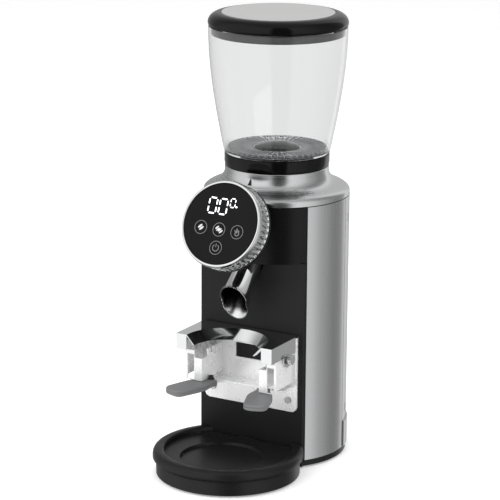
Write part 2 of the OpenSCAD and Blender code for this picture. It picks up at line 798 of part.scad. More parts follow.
module control_board() {
    board_l = 52;
    color("#1f6b3a") translate([board_x, -24, board_z]) difference() {
        union() {
            cube([1.6, board_l, 70]);
            translate([1.5, 6, 44]) cube([10, 16, 20]);
            translate([1.5, 30, 8]) cube([8, 14, 12]);
            for (y = [8, 20]) translate([1.5, y, 16]) rotate([0, 90, 0]) cylinder(r = 4.5, h = 11);
        }
        for (z = [12, 58]) translate([-1, 26, z]) rotate([0, 90, 0]) cylinder(r = 1.6, h = 30);
    }
}

// Small switch that feels the ring's skirt
switch_a = 135;
plunger_up = 1.8;
switch_gap = 4;
switch_t = min(5, body_r - skirt_r - switch_gap - 6);
module at_switch() {
    rotate([0, 0, switch_a - 90]) translate([0, 0, skirt_z + plunger_up]) rotate([0, 90, 0]) children();
}

module hopper_switch() {
    color("#26282b") at_switch() translate([0, 0, skirt_r + switch_gap]) difference() {
        translate([-3, -6, 0]) cube([3 + skirt_z + plunger_up - flange_z, 12, switch_t]);
        translate([0, 0, -1]) cylinder(r = 1.5 + close_fit, h = 5);
    }
}

module switch_plunger() {
    color("#c23a2b") at_switch() translate([0, 0, skirt_r + fit]) cylinder(r = 1.5, h = 5.2);
}

// Steel back plate of the portafilter rest, screwed to the front panel
module rest_plate() {
    foot_z = fork_z - 23;
    top_z = funnel_z - 2.4;
    corner = 6;
    window_w = 31.2;
    window_h = 14;
    color("#c9ccce") difference() {
        union() {
            translate([-rest_w / 2, panel_y - sheet_t, foot_z + corner])
                cube([rest_w, sheet_t, top_z - foot_z - corner]);
            translate([-rest_w / 2 + corner, panel_y - sheet_t, foot_z])
                cube([rest_w - 2 * corner, sheet_t, corner + 1]);
            both_sides() translate([rest_w / 2 - corner, panel_y, foot_z + corner]) rotate([90, 0, 0])
                cylinder(r = corner, h = sheet_t);
        }
        translate([-window_w / 2, panel_y - 10, funnel_z - 30]) cube([window_w, 20, window_h]);
        rest_screw_places() translate([0, 0, -10]) cylinder(r = 1.6, h = 20);
    }
}

// Four screw axes on the panel's face, with z along the axis forwards
module rest_screw_places() {
    both_sides() for (z = [fork_z - 12, channel_top - 2]) translate([40, panel_y, z]) rotate([90, 0, 0])
        children();
}

// Fork plate with its two prongs
module rest_fork() {
    plate_w = 2 * channel_out - 8;
    color("#c9ccce") {
        translate([-plate_w / 2, panel_y - 17, fork_z]) cube([plate_w, 17 - sheet_t, sheet_t]);
        both_sides() fork_frame() translate([-prong_w / 2, -prong_root, 0])
            cube([prong_w, prong_l + prong_root, sheet_t]);
    }
}

// One upright: an outer cheek with a slot for the side screw, a slotted front and an inner cheek
module upright() {
    low = fork_z + 4.4;
    slot_w = 2 * screw_r + 0.4;
    back = panel_y - sheet_t;
    difference() {
        union() {
            translate([channel_out - sheet_t, channel_y, fork_z + 8])
                cube([sheet_t, back - channel_y, screw_z - fork_z - 1]);
            translate([channel_in, channel_y, low])
                cube([channel_out - channel_in, sheet_t, channel_top - low]);
            translate([channel_in, channel_y, low]) cube([sheet_t, back - channel_y, channel_top - low]);
        }
        translate([channel_in + 8.4, channel_y - 1, fork_z + 5]) cube([7, 10, channel_top - fork_z - 9]);
        translate([0, ear_y, screw_z]) for (z = [-slot_down, slot_up]) translate([0, 0, z])
            rotate([0, 90, 0]) cylinder(r = slot_w / 2, h = far);
        translate([0, ear_y - slot_w / 2, screw_z - slot_down]) cube([far, slot_w, slot_up + slot_down]);
        translate([channel_in - 2, channel_y - 1, screw_z - 8]) cube([10, 12, 40]);
    }
}

module right_upright() { color("#c9ccce") upright(); }

module left_upright() { color("#c9ccce") mirror([1, 0, 0]) upright(); }

// Middle line of one prong of the fork, with y running forwards along it
module fork_frame() {
    translate([24, panel_y - 16, fork_z]) rotate([0, 0, 180 + fork_splay]) children();
}

module sleeve() {
    half_w = 10.4;
    thick = 6;
    gap = 0.1;
    fork_frame() translate([0, 0, (sheet_t - thick) / 2]) difference() {
        union() {
            translate([0, 22, 0]) cylinder(r = half_w, h = thick);
            translate([0, 47, 0]) cylinder(r = half_w - 1, h = thick);
            translate([-half_w + 0.5, 22, 0]) cube([2 * half_w - 1, 25, thick]);
            translate([-6.4, 8, 0]) cube([12.8, 14, thick]);
        }
        translate([-prong_w / 2 - gap, 0, (thick - sheet_t) / 2 - gap])
            cube([prong_w + 2 * gap, prong_l + gap, sheet_t + 2 * gap]);
    }
}

module right_sleeve() { color("#7f8183") sleeve(); }

module left_sleeve() { color("#7f8183") mirror([1, 0, 0]) sleeve(); }

module rest_screws() {
    color("#9b9ea1") rest_screw_places() {
        translate([0, 0, sheet_t - 8]) cylinder(r = 1.5, h = 8.2);
        translate([0, 0, sheet_t]) cylinder(r = 3, h = 1.6);
    }
}

// Funnel plate: a bent plate with a half-round conical lip, carried on the two side screws
module funnel_plate() {
    lip_r = funnel_r - 8.3;
    lip_t = 1.3;
    overlap = 0.4;
    front = panel_y - rest_d;
    depth = rest_d - sheet_t - fit;
    flange_h = 14.5;
    mouth = [[-lip_r - overlap, -far], [lip_r + overlap, -far], [lip_r + overlap, -funnel_lip],
        [funnel_r + overlap, 0], [funnel_r + overlap, far], [-funnel_r - overlap, far],
        [-funnel_r - overlap, 0], [-lip_r - overlap, -funnel_lip]];
    lip = [[lip_r, 0], [lip_r + lip_t, 0], [funnel_r + lip_t, funnel_lip], [funnel_r, funnel_lip]];
    color("#d3d6d8") {
        difference() {
            union() {
                translate([-plate_side, front, funnel_z - sheet_t]) cube([2 * plate_side, depth, sheet_t]);
                translate([-plate_side, front, funnel_z - flange_h])
                    cube([2 * plate_side, sheet_t, flange_h - 0.5]);
                both_sides() {
                    translate([plate_side - sheet_t, front, funnel_z - flange_h])
                        cube([sheet_t, depth - 5, flange_h - 0.5]);
                    translate([plate_side - sheet_t, ear_y, screw_z]) rotate([0, 90, 0])
                        cylinder(r = 7.5, h = sheet_t);
                }
            }
            translate([0, funnel_y, 0]) cylinder(r = funnel_r + overlap, h = far);
            translate([0, funnel_y, funnel_z]) rotate([90, 0, 0]) linear_extrude(far) polygon(mouth);
            translate([0, ear_y, screw_z]) rotate([0, 90, 0])
                cylinder(r = screw_r + close_fit, h = far, center = true);
        }
        translate([0, funnel_y, funnel_z - funnel_lip]) {
            rotate_extrude(angle = 180) polygon(lip);
            both_sides() rotate([90, 0, 0]) linear_extrude(funnel_y - front) polygon(lip);
        }
    }
}

// Knurled side screw that clamps the funnel plate
module side_screw() {
    head_r = 4.6;
    grooves = 18;
    translate([0, ear_y, screw_z]) rotate([0, 90, 0]) {
        translate([0, 0, plate_side - 8]) cylinder(r = screw_r, h = 9);
        difference() {
            translate([0, 0, plate_side + 0.2]) cylinder(r = head_r, h = 4.6);
            for (i = [1 : grooves]) rotate([0, 0, i * 360 / grooves]) translate([head_r + fit, 0, plate_side])
                cylinder(r = 0.6, h = 6, $fn = 16);
        }
    }
}

module right_screw() { color("#c4c7c9") side_screw(); }

module left_screw() { color("#c4c7c9") mirror([1, 0, 0]) side_screw(); }

// Round tray with a rim, two recesses and a low rib along the panel
round_steps = 5;
module tray() {
    rim_r = tray_r - 10.5;
    floor_z = tray_h - 5;
    t = 2.2;
    spigot_r = plinth_r - 2.5 - fit - 0.2;
    low_y = -12.5;
    low_r = 36.8;
    color("#1e1f20") difference() {
        union() {
            before_panel(0.4) at_tray() rotate_extrude() polygon(concat(
                [[0, floor_z - t - 3], [spigot_r - t, floor_z - t - 3], [spigot_r - t, foot_h + 5],
                 [spigot_r, foot_h + 5], [spigot_r, plinth_h + fit], [tray_r - 1.4, plinth_h + fit],
                 [tray_r, plinth_h + fit + 1.5]],
                [for (i = [0 : round_steps]) let (a = 90 * i / round_steps)
                    [tray_r - 5 + 5 * cos(a), tray_h - 5 + 5 * sin(a)]],
                [[rim_r + 1.5, tray_h], [rim_r, tray_h - 1], [rim_r - 0.8, floor_z], [0, floor_z]]));
            intersection() {
                union() {
                    translate([-far / 2, panel_y - 9.2, floor_z - 1]) cube([far, 2.4, 3]);
                    translate([0, panel_y - 6.8, floor_z - 35]) rotate([90, 0, 0]) cylinder(r = 39.2, h = 2.4);
                }
                at_tray() translate([0, 0, floor_z - 1]) cylinder(r = rim_r + 1, h = far);
            }
        }
        at_tray() translate([0, low_y, floor_z - 2.6]) cylinder(r1 = low_r, r2 = low_r + 1.2, h = 4);
    }
}

on_axis() base();
on_axis() feet();
on_axis() inner_frame();
on_axis() right_side_skin();
on_axis() left_side_skin();
on_axis() rear_cover();
on_axis() rear_screws();
on_axis() mains_grommet();
on_axis() front_panel();
on_axis() head_cover();
on_axis() collar();
on_axis() adjusting_ring();
on_axis() hopper();
on_axis() finger_guard();
on_axis() guard_dome();
on_axis() lid_ring();
on_axis() lid_disc();
on_axis() lid_seal();
on_axis() dial_housing();
on_axis() dial_ring();
on_axis() display_glass();
on_axis() display_board();
on_axis() chute();
on_axis() grinding_chamber();
on_axis() burr_carrier();
on_axis() carrier_seal();
on_axis() ring_burr();
on_axis() cone_burr();
on_axis() burr_nut();
on_axis() impeller();
on_axis() burr_shaft();
on_axis() upper_bearing();
on_axis() lower_bearing();
on_axis() gearbox_tray();
on_axis() gearbox_lid();
on_axis() drive_gear();
on_axis() idler_gear();
on_axis() idler_pin();
on_axis() motor_shaft();
on_axis() motor_armature();
on_axis() motor_can();
on_axis() motor_magnets();
on_axis() motor_cap();
on_axis() motor_fan();
on_axis() control_board();
on_axis() hopper_switch();
on_axis() switch_plunger();
on_axis() rest_plate();
on_axis() rest_fork();
on_axis() right_upright();
on_axis() left_upright();
on_axis() rest_screws();
on_axis() left_sleeve();
on_axis() right_sleeve();
on_axis() funnel_plate();
on_axis() left_screw();
on_axis() right_screw();
on_axis() tray();
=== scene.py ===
# %% [markdown]
# # Dressing a burr coffee grinder
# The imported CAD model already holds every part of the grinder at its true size: shells, burrs, gears,
# motor, dial, chute, portafilter rest and tray. This lesson gives it its looks. Parts whose shape is
# right keep their CAD mesh and get a finish. Parts that need finer forms, such as the knurled dial, are
# worked out here as surfaces and stand in for their CAD node.

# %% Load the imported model
import json
import math

import bmesh
import bpy
import numpy as np
from mathutils import Matrix, Vector


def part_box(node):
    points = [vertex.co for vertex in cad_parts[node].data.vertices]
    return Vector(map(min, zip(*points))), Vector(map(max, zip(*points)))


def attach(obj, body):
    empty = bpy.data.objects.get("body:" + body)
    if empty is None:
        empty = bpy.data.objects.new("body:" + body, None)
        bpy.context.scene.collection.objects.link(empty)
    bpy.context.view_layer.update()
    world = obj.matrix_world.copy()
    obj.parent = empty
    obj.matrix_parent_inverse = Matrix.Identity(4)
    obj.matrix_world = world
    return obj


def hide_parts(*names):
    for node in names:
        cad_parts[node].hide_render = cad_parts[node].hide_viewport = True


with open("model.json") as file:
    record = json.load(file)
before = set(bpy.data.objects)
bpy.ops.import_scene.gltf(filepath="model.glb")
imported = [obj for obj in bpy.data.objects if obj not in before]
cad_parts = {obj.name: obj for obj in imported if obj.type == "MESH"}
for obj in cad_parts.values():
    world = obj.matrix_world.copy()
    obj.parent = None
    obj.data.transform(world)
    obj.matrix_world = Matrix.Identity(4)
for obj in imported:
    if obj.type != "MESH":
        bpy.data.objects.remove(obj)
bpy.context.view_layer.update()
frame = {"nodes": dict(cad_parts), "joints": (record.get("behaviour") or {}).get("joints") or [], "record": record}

MM = 0.001
joints = {joint["name"]: joint for joint in frame["joints"]}
slot_of = {part["node"]: part["material_slot"] for part in frame["record"]["subparts"]}
body_of = {node: body for body, nodes in frame["record"]["behaviour"]["bodies"].items() for node in nodes}
burr_axis = np.array(joints["burr_turn"]["pos_m"]) * (1, 1, 0)

# %% [markdown]
# ## Camera, floor and light
# A long lens a little above the dial keeps the tower's sides nearly parallel.
# Polished steel shows its surroundings more than itself, so the studio is painted on the world as broad
# upright bands: two bright softboxes with a dark gap between them. What is seen directly is plain white
# instead, and what is seen through the clear hopper is a light grey, which a Light Path node decides.

# %% Camera
def look_from(place, target, lens, roll):
    """A camera at place that looks at target: its back points from target to place, its right side is
    level, and roll turns it about the line of sight."""
    back = (Vector(place) - Vector(target)).normalized()
    right = Vector((0, 0, 1)).cross(back).normalized()
    up = back.cross(right)
    tilted_right = right * math.cos(roll) + up * math.sin(roll)
    tilted_up = up * math.cos(roll) - right * math.sin(roll)
    camera = bpy.data.objects.new("camera", bpy.data.cameras.new("camera"))
    camera.data.lens = lens
    turn = Matrix((tilted_right, tilted_up, back)).transposed()
    camera.matrix_world = Matrix.Translation(place) @ turn.to_4x4()
    bpy.context.scene.collection.objects.link(camera)
    bpy.context.scene.camera = camera
    return camera


camera = look_from(place=(0.9956, -1.7352, 0.7359), target=(-0.02095, 0.03122, 0.19104),
                   lens=163.7, roll=math.radians(0.40))
camera.data.clip_end = 100
print("camera lens", camera.data.lens, "mm")

# %% World
def studio_world(bands, ceiling, ground, behind_clear, strength):
    """Brightness by compass angle: the angle of a direction from the front (-Y) towards +X runs through
    a colour ramp of (degrees, brightness) stops. It fades to the ceiling's brightness near the zenith and
    to the ground's brightness well below the horizon. Seen directly it is white, and seen through clear
    plastic it has the grey brightness behind_clear, as a backdrop in half shade has."""
    world = bpy.data.worlds.new("studio")
    bpy.context.scene.world = world
    world.use_nodes = True
    tree = world.node_tree
    tree.nodes.clear()
    link = tree.links.new
    direction = tree.nodes.new("ShaderNodeTexCoord")
    split = tree.nodes.new("ShaderNodeSeparateXYZ")
    link(direction.outputs["Generated"], split.inputs[0])
    forward = tree.nodes.new("ShaderNodeMath")
    forward.operation = "MULTIPLY"
    forward.inputs[1].default_value = -1
    link(split.outputs["Y"], forward.inputs[0])
    angle = tree.nodes.new("ShaderNodeMath")
    angle.operation = "ARCTAN2"
    link(split.outputs["X"], angle.inputs[0])
    link(forward.outputs[0], angle.inputs[1])
    turn = tree.nodes.new("ShaderNodeMapRange")
    turn.inputs["From Min"].default_value = -math.pi
    turn.inputs["From Max"].default_value = math.pi
    link(angle.outputs[0], turn.inputs["Value"])
    ramp = tree.nodes.new("ShaderNodeValToRGB")
    ramp.color_ramp.interpolation = "EASE"
    elements = ramp.color_ramp.elements
    while len(elements) < len(bands):
        elements.new(0.5)
    for element, (degrees, light) in zip(elements, bands):
        element.position = degrees / 360 + 0.5
        element.color = (light, light, light, 1)
    link(turn.outputs["Result"], ramp.inputs["Fac"])
    colour = ramp.outputs["Color"]
    for start, end, light in ((0.8, 0.95, ceiling), (-0.5, -0.75, ground)):
        height = tree.nodes.new("ShaderNodeMapRange")
        height.inputs["From Min"].default_value = start
        height.inputs["From Max"].default_value = end
        link(split.outputs["Z"], height.inputs["Value"])
        fade = tree.nodes.new("ShaderNodeMix")
        fade.data_type = "RGBA"
        fade.inputs["B"].default_value = (light, light, light, 1)
        link(height.outputs["Result"], fade.inputs["Factor"])
        link(colour, fade.inputs["A"])
        colour = fade.outputs["Result"]
    studio = tree.nodes.new("ShaderNodeBackground")
    studio.inputs["Strength"].default_value = strength
    link(colour, studio.inputs["Color"])
    path = tree.nodes.new("ShaderNodeLightPath")
    backdrop = tree.nodes.new("ShaderNodeMath")
    backdrop.operation = "MULTIPLY_ADD"
    backdrop.inputs[1].default_value = 1 - behind_clear
    backdrop.inputs[2].default_value = behind_clear
    link(path.outputs["Is Camera Ray"], backdrop.inputs[0])
    white = tree.nodes.new("ShaderNodeBackground")
    link(backdrop.outputs[0], white.inputs["Color"])
    direct = tree.nodes.new("ShaderNodeMath")
    direct.operation = "MAXIMUM"
    link(path.outputs["Is Camera Ray"], direct.inputs[0])
    link(path.outputs["Is Transmission Ray"], direct.inputs[1])
    choice = tree.nodes.new("ShaderNodeMixShader")
    link(direct.outputs[0], choice.inputs["Fac"])
    link(studio.outputs[0], choice.inputs[1])
    link(white.outputs[0], choice.inputs[2])
    output = tree.nodes.new("ShaderNodeOutputWorld")
    link(choice.outputs[0], output.inputs["Surface"])
    return world


left_softbox = [(-180, 0.6), (-130, 0.35), (-100, 0.3), (-60, 0.8), (-20, 0.95), (12, 0.9)]
dark_gap = [(22, 0.05), (48, 0.04)]
right_softbox = [(56, 0.95), (86, 0.75), (108, 0.42), (136, 0.24)]
back_softbox = [(156, 0.3), (168, 0.9), (180, 0.7)]
studio_world(bands=left_softbox + dark_gap + right_softbox + back_softbox,
             ceiling=0.5, ground=0.1, behind_clear=0.84, strength=1.15)
bpy.context.scene.view_settings.view_transform = "Standard"
print("softbox stops:", len(left_softbox + right_softbox + back_softbox))

# %% Floor and lamps
def area_lamp(name, place, target, size, power):
    """A square softbox at place that faces target."""
    lamp = bpy.data.objects.new(name, bpy.data.lights.new(name, "AREA"))
    lamp.data.shape = "SQUARE"
    lamp.data.size = size
    lamp.data.energy = power
    lamp.location = place
    lamp.rotation_euler = (Vector(target) - Vector(place)).to_track_quat("-Z", "Y").to_euler()
    lamp.visible_glossy = False
    bpy.context.scene.collection.objects.link(lamp)
    return lamp


area_lamp("key_softbox", (-0.9, -1.4, 1.9), (0, 0, 0.15), 2.0, 20)
area_lamp("fill_softbox", (1.6, -0.9, 1.3), (0, 0, 0.15), 1.6, 9)
area_lamp("top_softbox", (0.1, 0.3, 2.2), (0, 0, 0.1), 2.4, 26)

floor_half = 3.0
floor_height = -0.0002
floor_mesh = bpy.data.meshes.new("floor")
floor_corners = [(x * floor_half, y * floor_half, floor_height)
                 for x, y in ((-1, -1), (1, -1), (1, 1), (-1, 1))]
floor_mesh.from_pydata(floor_corners, [], [(0, 1, 2, 3)])
floor = bpy.data.objects.new("floor", floor_mesh)
bpy.context.scene.collection.objects.link(floor)
floor.visible_glossy = False
floor.visible_transmission = False
print("floor side:", 2 * floor_half, "m")

# %% [markdown]
# ## Finishes
# Two node groups carry the effects that many finishes share. The first is a straight grain: noise that
# is stretched along one direction, like the marks of a brushing belt, or left even, like the fine
# texture of moulded plastic. The second is a spun grain, rings round an axis, as a lathe leaves them.
# Each finish places a group with its own values and feeds it to colour, roughness and a faint bump.

# %% Grain groups
def group_input(group, name, kind, value):
    """One named input of a node group, with its default value."""
    socket = group.interface.new_socket(name=name, in_out="INPUT", socket_type=kind)
    socket.default_value = value
    return socket


def math_node(tree, operation, a, b=None):
    """A Vector Math node on two outputs, or on an output and a fixed vector."""
    node = tree.nodes.new("ShaderNodeVectorMath")
    node.operation = operation
    tree.links.new(a, node.inputs[0])
    if b is not None:
        tree.links.new(b, node.inputs[1])
    return node


def straight_grain_group():
    """Noise at the object's own coordinates times Stretch, so a large number packs the marks close."""
    group = bpy.data.node_groups.new("straight_grain", "ShaderNodeTree")
    group_input(group, "Stretch", "NodeSocketVector", (400, 400, 400))
    group_input(group, "Detail", "NodeSocketFloat", 3)
    group.interface.new_socket(name="Grain", in_out="OUTPUT", socket_type="NodeSocketFloat")
    inputs, outputs = group.nodes.new("NodeGroupInput"), group.nodes.new("NodeGroupOutput")
    place = group.nodes.new("ShaderNodeTexCoord")
    stretched = math_node(group, "MULTIPLY", place.outputs["Object"], inputs.outputs["Stretch"])
    noise = group.nodes.new("ShaderNodeTexNoise")
    noise.inputs["Scale"].default_value = 1
    group.links.new(stretched.outputs[0], noise.inputs["Vector"])
    group.links.new(inputs.outputs["Detail"], noise.inputs["Detail"])
    group.links.new(noise.outputs["Fac"], outputs.inputs["Grain"])
    return group


def spun_grain_group():
    """Noise at (distance from the axis, height along it): the same all round, so it makes rings."""
    group = bpy.data.node_groups.new("spun_grain", "ShaderNodeTree")
    group_input(group, "Centre", "NodeSocketVector", (0, 0, 0))
    group_input(group, "Axis", "NodeSocketVector", (0, 0, 1))
    group_input(group, "Scale", "NodeSocketFloat", 1500)
    group.interface.new_socket(name="Grain", in_out="OUTPUT", socket_type="NodeSocketFloat")
    inputs, outputs = group.nodes.new("NodeGroupInput"), group.nodes.new("NodeGroupOutput")
    place = group.nodes.new("ShaderNodeTexCoord")
    from_centre = math_node(group, "SUBTRACT", place.outputs["Object"], inputs.outputs["Centre"])
    height = math_node(group, "DOT_PRODUCT", from_centre.outputs[0], inputs.outputs["Axis"])
    along = group.nodes.new("ShaderNodeVectorMath")
    along.operation = "SCALE"
    group.links.new(inputs.outputs["Axis"], along.inputs[0])
    group.links.new(height.outputs["Value"], along.inputs["Scale"])
    across = math_node(group, "SUBTRACT", from_centre.outputs[0], along.outputs[0])
    radius = math_node(group, "LENGTH", across.outputs[0])
    ring = group.nodes.new("ShaderNodeCombineXYZ")
    group.links.new(radius.outputs["Value"], ring.inputs["X"])
    group.links.new(height.outputs["Value"], ring.inputs["Y"])
    noise = group.nodes.new("ShaderNodeTexNoise")
    noise.inputs["Detail"].default_value = 4
    group.links.new(ring.outputs[0], noise.inputs["Vector"])
    group.links.new(inputs.outputs["Scale"], noise.inputs["Scale"])
    group.links.new(noise.outputs["Fac"], outputs.inputs["Grain"])
    return group


straight_grain, spun_grain = straight_grain_group(), spun_grain_group()
print("node groups:", straight_grain.name, spun_grain.name)

# %% The finish function
def finish(name, colour, roughness, metallic=0.0, stretch=None, spin=None, spread=0.05, rough_spread=0.05,
           bump=0.0, **sockets):
    """A Principled material whose colour and roughness wander with the grain: colour by +-spread of
    itself and roughness by +-rough_spread. spin is (centre, axis, scale) for a spun grain, and
    otherwise the grain is straight with the given stretch. sockets are constant values by name."""
    material = bpy.data.materials.new(name)
    material.use_nodes = True
    tree = material.node_tree
    shader = tree.nodes["Principled BSDF"]
    grain = tree.nodes.new("ShaderNodeGroup")
    if spin:
        grain.node_tree = spun_grain
        grain.inputs["Centre"].default_value = spin[0]
        grain.inputs["Axis"].default_value = spin[1]
        grain.inputs["Scale"].default_value = spin[2]
    else:
        grain.node_tree = straight_grain
        grain.inputs["Stretch"].default_value = stretch or (900, 900, 900)
    value = grain.outputs["Grain"]
    tint = tree.nodes.new("ShaderNodeMix")
    tint.data_type = "RGBA"
    tint.inputs["A"].default_value = (*[max(0, c * (1 - spread)) for c in colour], 1)
    tint.inputs["B"].default_value = (*[min(1, c * (1 + spread)) for c in colour], 1)
    tree.links.new(value, tint.inputs["Factor"])
    tree.links.new(tint.outputs["Result"], shader.inputs["Base Color"])
    rough = tree.nodes.new("ShaderNodeMapRange")
    rough.inputs["From Min"].default_value = 0.25
    rough.inputs["From Max"].default_value = 0.75
    rough.inputs["To Min"].default_value = max(0.01, roughness - rough_spread)
    rough.inputs["To Max"].default_value = roughness + rough_spread
    tree.links.new(value, rough.inputs["Value"])
    tree.links.new(rough.outputs["Result"], shader.inputs["Roughness"])
    if bump:
        relief = tree.nodes.new("ShaderNodeBump")
        relief.inputs["Strength"].default_value = bump
        relief.inputs["Distance"].default_value = 0.1 * MM
        tree.links.new(value, relief.inputs["Height"])
        tree.links.new(relief.outputs["Normal"], shader.inputs["Normal"])
    shader.inputs["Metallic"].default_value = metallic
    for socket, constant in sockets.items():
        shader.inputs[socket.replace("_", " ")].default_value = constant
    return material


# %% [markdown]
# ### The finishes of this grinder
# One entry for each material slot of the record. The body's steel is belt-brushed upwards, so its grain
# is long in z. The collar is spun on a lathe, so its grain runs in rings. Chrome parts are nearly
# mirrors, with faint polishing marks. The plastics carry a fine even texture.

# %% Finishes by slot
UP = (0, 0, 1)
dial_centre, dial_axis = joints["dial_turn"]["pos_m"], joints["dial_turn"]["axis"]
finishes = {
    "brushed_steel": finish("brushed_steel", (0.6, 0.605, 0.61), 0.27, 1, (2400, 2400, 10), spread=0.06,
                            rough_spread=0.05, bump=0.05),
    "collar_steel": finish("collar_steel", (0.62, 0.625, 0.63), 0.24, 1, spin=(burr_axis, UP, 2600),
                           spread=0.1, rough_spread=0.08, bump=0.08),
    "polished_steel": finish("polished_steel", (0.85, 0.855, 0.86), 0.08, 1, (60, 60, 60), spread=0.03,
                             rough_spread=0.04),
    "satin_sheet": finish("satin_sheet", (0.98, 0.98, 0.98), 0.28, 0.4, (90, 90, 90), spread=0.01,
                          rough_spread=0.02),
    "dial_metal": finish("dial_metal", (0.86, 0.865, 0.87), 0.12, 1, (700, 700, 700), spread=0.05,
                         rough_spread=0.06),
    "screw_steel": finish("screw_steel", (0.55, 0.56, 0.57), 0.3, 1, (1500, 1500, 1500), spread=0.1),
    "black_gloss": finish("black_gloss", (0.003, 0.003, 0.0033), 0.09, 0, (500, 500, 500), spread=0.2,
                          rough_spread=0.04, Specular_IOR_Level=0.2),
    "head_black": finish("head_black", (0.004, 0.004, 0.0045), 0.3, 0, (900, 900, 900), spread=0.2,
                         rough_spread=0.05, Specular_IOR_Level=0.2),
    "black_satin": finish("black_satin", (0.009, 0.009, 0.0095), 0.34, 0, (2600, 2600, 2600), spread=0.3,
                          rough_spread=0.08, bump=0.2, Specular_IOR_Level=0.25),
    "panel_black": finish("panel_black", (0.012, 0.012, 0.0125), 0.42, 0, (2600, 2600, 2600), spread=0.25,
                          rough_spread=0.06, bump=0.15, Specular_IOR_Level=0.2),
    "floor_white": finish("floor_white", (0.9, 0.9, 0.9), 0.9, 0, (40, 40, 40), spread=0.005,
                          Specular_IOR_Level=0.1, Emission_Color=(1, 1, 1, 1), Emission_Strength=0.3),
    "frame_grey": finish("frame_grey", (0.05, 0.05, 0.053), 0.55, 0, (1200, 1200, 1200), bump=0.3),
    "rubber_black": finish("rubber_black", (0.02, 0.02, 0.02), 0.75, 0, (1800, 1800, 1800), bump=0.3),
    "sleeve_grey": finish("sleeve_grey", (0.17, 0.172, 0.175), 0.5, 0, (1400, 1400, 1400), spread=0.1,
                          rough_spread=0.08, bump=0.3),
    "clear_hopper": finish("clear_hopper", (0.97, 0.972, 0.975), 0.03, 0, (6, 6, 6), spread=0.02,
                           rough_spread=0.015, Transmission_Weight=1.0, IOR=1.45),
    "clear_guard": finish("clear_guard", (0.68, 0.69, 0.7), 0.08, 0, (200, 200, 200), spread=0.1,
                          rough_spread=0.04, Transmission_Weight=0.9, IOR=1.5),
    # A light, part-metallic colour for the bars that are painted highlights on the guard's clear ribs.
    "rib_painted_highlight": finish("rib_painted_highlight", (0.75, 0.76, 0.77), 0.2, 0.3, (900, 900, 900), spread=0.2,
                       rough_spread=0.1),
    "lid_grey": finish("lid_grey", (0.4, 0.4, 0.398), 0.5, 0.0, (1200, 60, 1200), spread=0.05,
                       rough_spread=0.08, bump=0.1),
    "seal_grey": finish("seal_grey", (0.04, 0.04, 0.041), 0.3, 0, (900, 900, 900), bump=0.1),
    "black_glass": finish("black_glass", (0.006, 0.006, 0.0065), 0.06, 0, (40, 40, 40), spread=0.2,
                          rough_spread=0.03, Specular_IOR_Level=0.12),
    "board_green": finish("board_green", (0.02, 0.13, 0.05), 0.45, 0, (900, 900, 900), spread=0.3),
    "chamber_grey": finish("chamber_grey", (0.4, 0.41, 0.42), 0.5, 1, (900, 900, 900), bump=0.5),
    "carrier_metal": finish("carrier_metal", (0.5, 0.51, 0.52), 0.32, 1, spin=(burr_axis, UP, 2000)),
    "seal_red": finish("seal_red", (0.35, 0.05, 0.03), 0.6, 0, (900, 900, 900), bump=0.1),
    "burr_steel": finish("burr_steel", (0.45, 0.46, 0.47), 0.28, 1, spin=(burr_axis, UP, 3000)),
    "impeller_white": finish("impeller_white", (0.75, 0.75, 0.72), 0.45, 0, (900, 900, 900)),
    "gear_white": finish("gear_white", (0.78, 0.75, 0.66), 0.5, 0, (900, 900, 900), bump=0.1),
    "motor_steel": finish("motor_steel", (0.35, 0.36, 0.37), 0.4, 1, (900, 900, 90), spread=0.1),
    "magnet_grey": finish("magnet_grey", (0.06, 0.06, 0.065), 0.7, 0, (1200, 1200, 1200), bump=0.5),
    "copper_brown": finish("copper_brown", (0.45, 0.2, 0.08), 0.35, 1, (300, 300, 4000), spread=0.3,
                           bump=0.5),
    "plunger_red": finish("plunger_red", (0.5, 0.04, 0.03), 0.4, 0, (900, 900, 900)),
}
for node, part in frame["nodes"].items():
    for slot in part.material_slots:
        slot.material = finishes[slot_of[node]]
floor.data.materials.append(finishes["floor_white"])
print("finishes:", len(finishes))

# %% [markdown]
# ## Surfaces from formulas
# A new piece is one or more grids of points. A grid's rows and columns may close on themselves, as on a
# ring. The helpers below give the corner numbers of a grid's squares, round an outline's corners, turn
# an outline round an axis, stack an outline with a rounded rim, and put it all in a mesh.

# %% Grids, outlines and meshes
def squares(rows, columns, close_rows=True, close_columns=True):
    """Corner numbers of the squares of a grid of points, row by row."""
    row, column = np.meshgrid(np.arange(rows - (not close_rows)), np.arange(columns - (not close_columns)),
                              indexing="ij")
    next_row, next_column = (row + 1) % rows, (column + 1) % columns
    corners = (row * columns + column, row * columns + next_column,
               next_row * columns + next_column, next_row * columns + column)
    return np.stack(corners, -1).reshape(-1, 4)


def rounded(corners, steps=6):
    """Corners are (x, y, cut). The outline leaves each corner P at A, cut before it, and is back at B,
    cut after it, along the curve (1-t)(1-t) A + 2t(1-t) P + t t B."""
    corners = np.array(corners, float)
    point, cut = corners[:, :2], corners[:, 2:]
    before, after = np.roll(point, 1, 0) - point, np.roll(point, -1, 0) - point
    a = point + before * cut / np.linalg.norm(before, axis=1, keepdims=True)
    b = point + after * cut / np.linalg.norm(after, axis=1, keepdims=True)
    t = np.linspace(0, 1, steps)[None, :, None]
    curve = (1 - t) ** 2 * a[:, None] + 2 * t * (1 - t) * point[:, None] + t * t * b[:, None]
    return curve.reshape(-1, 2)


def axes_of(out):
    """Unit vectors across, up and out for a piece whose axis points along out; across is level."""
    out = np.array(out, float) / np.linalg.norm(out)
    across = np.array((1.0, 0.0, 0.0))
    return np.stack([across, np.cross(out, across), out])


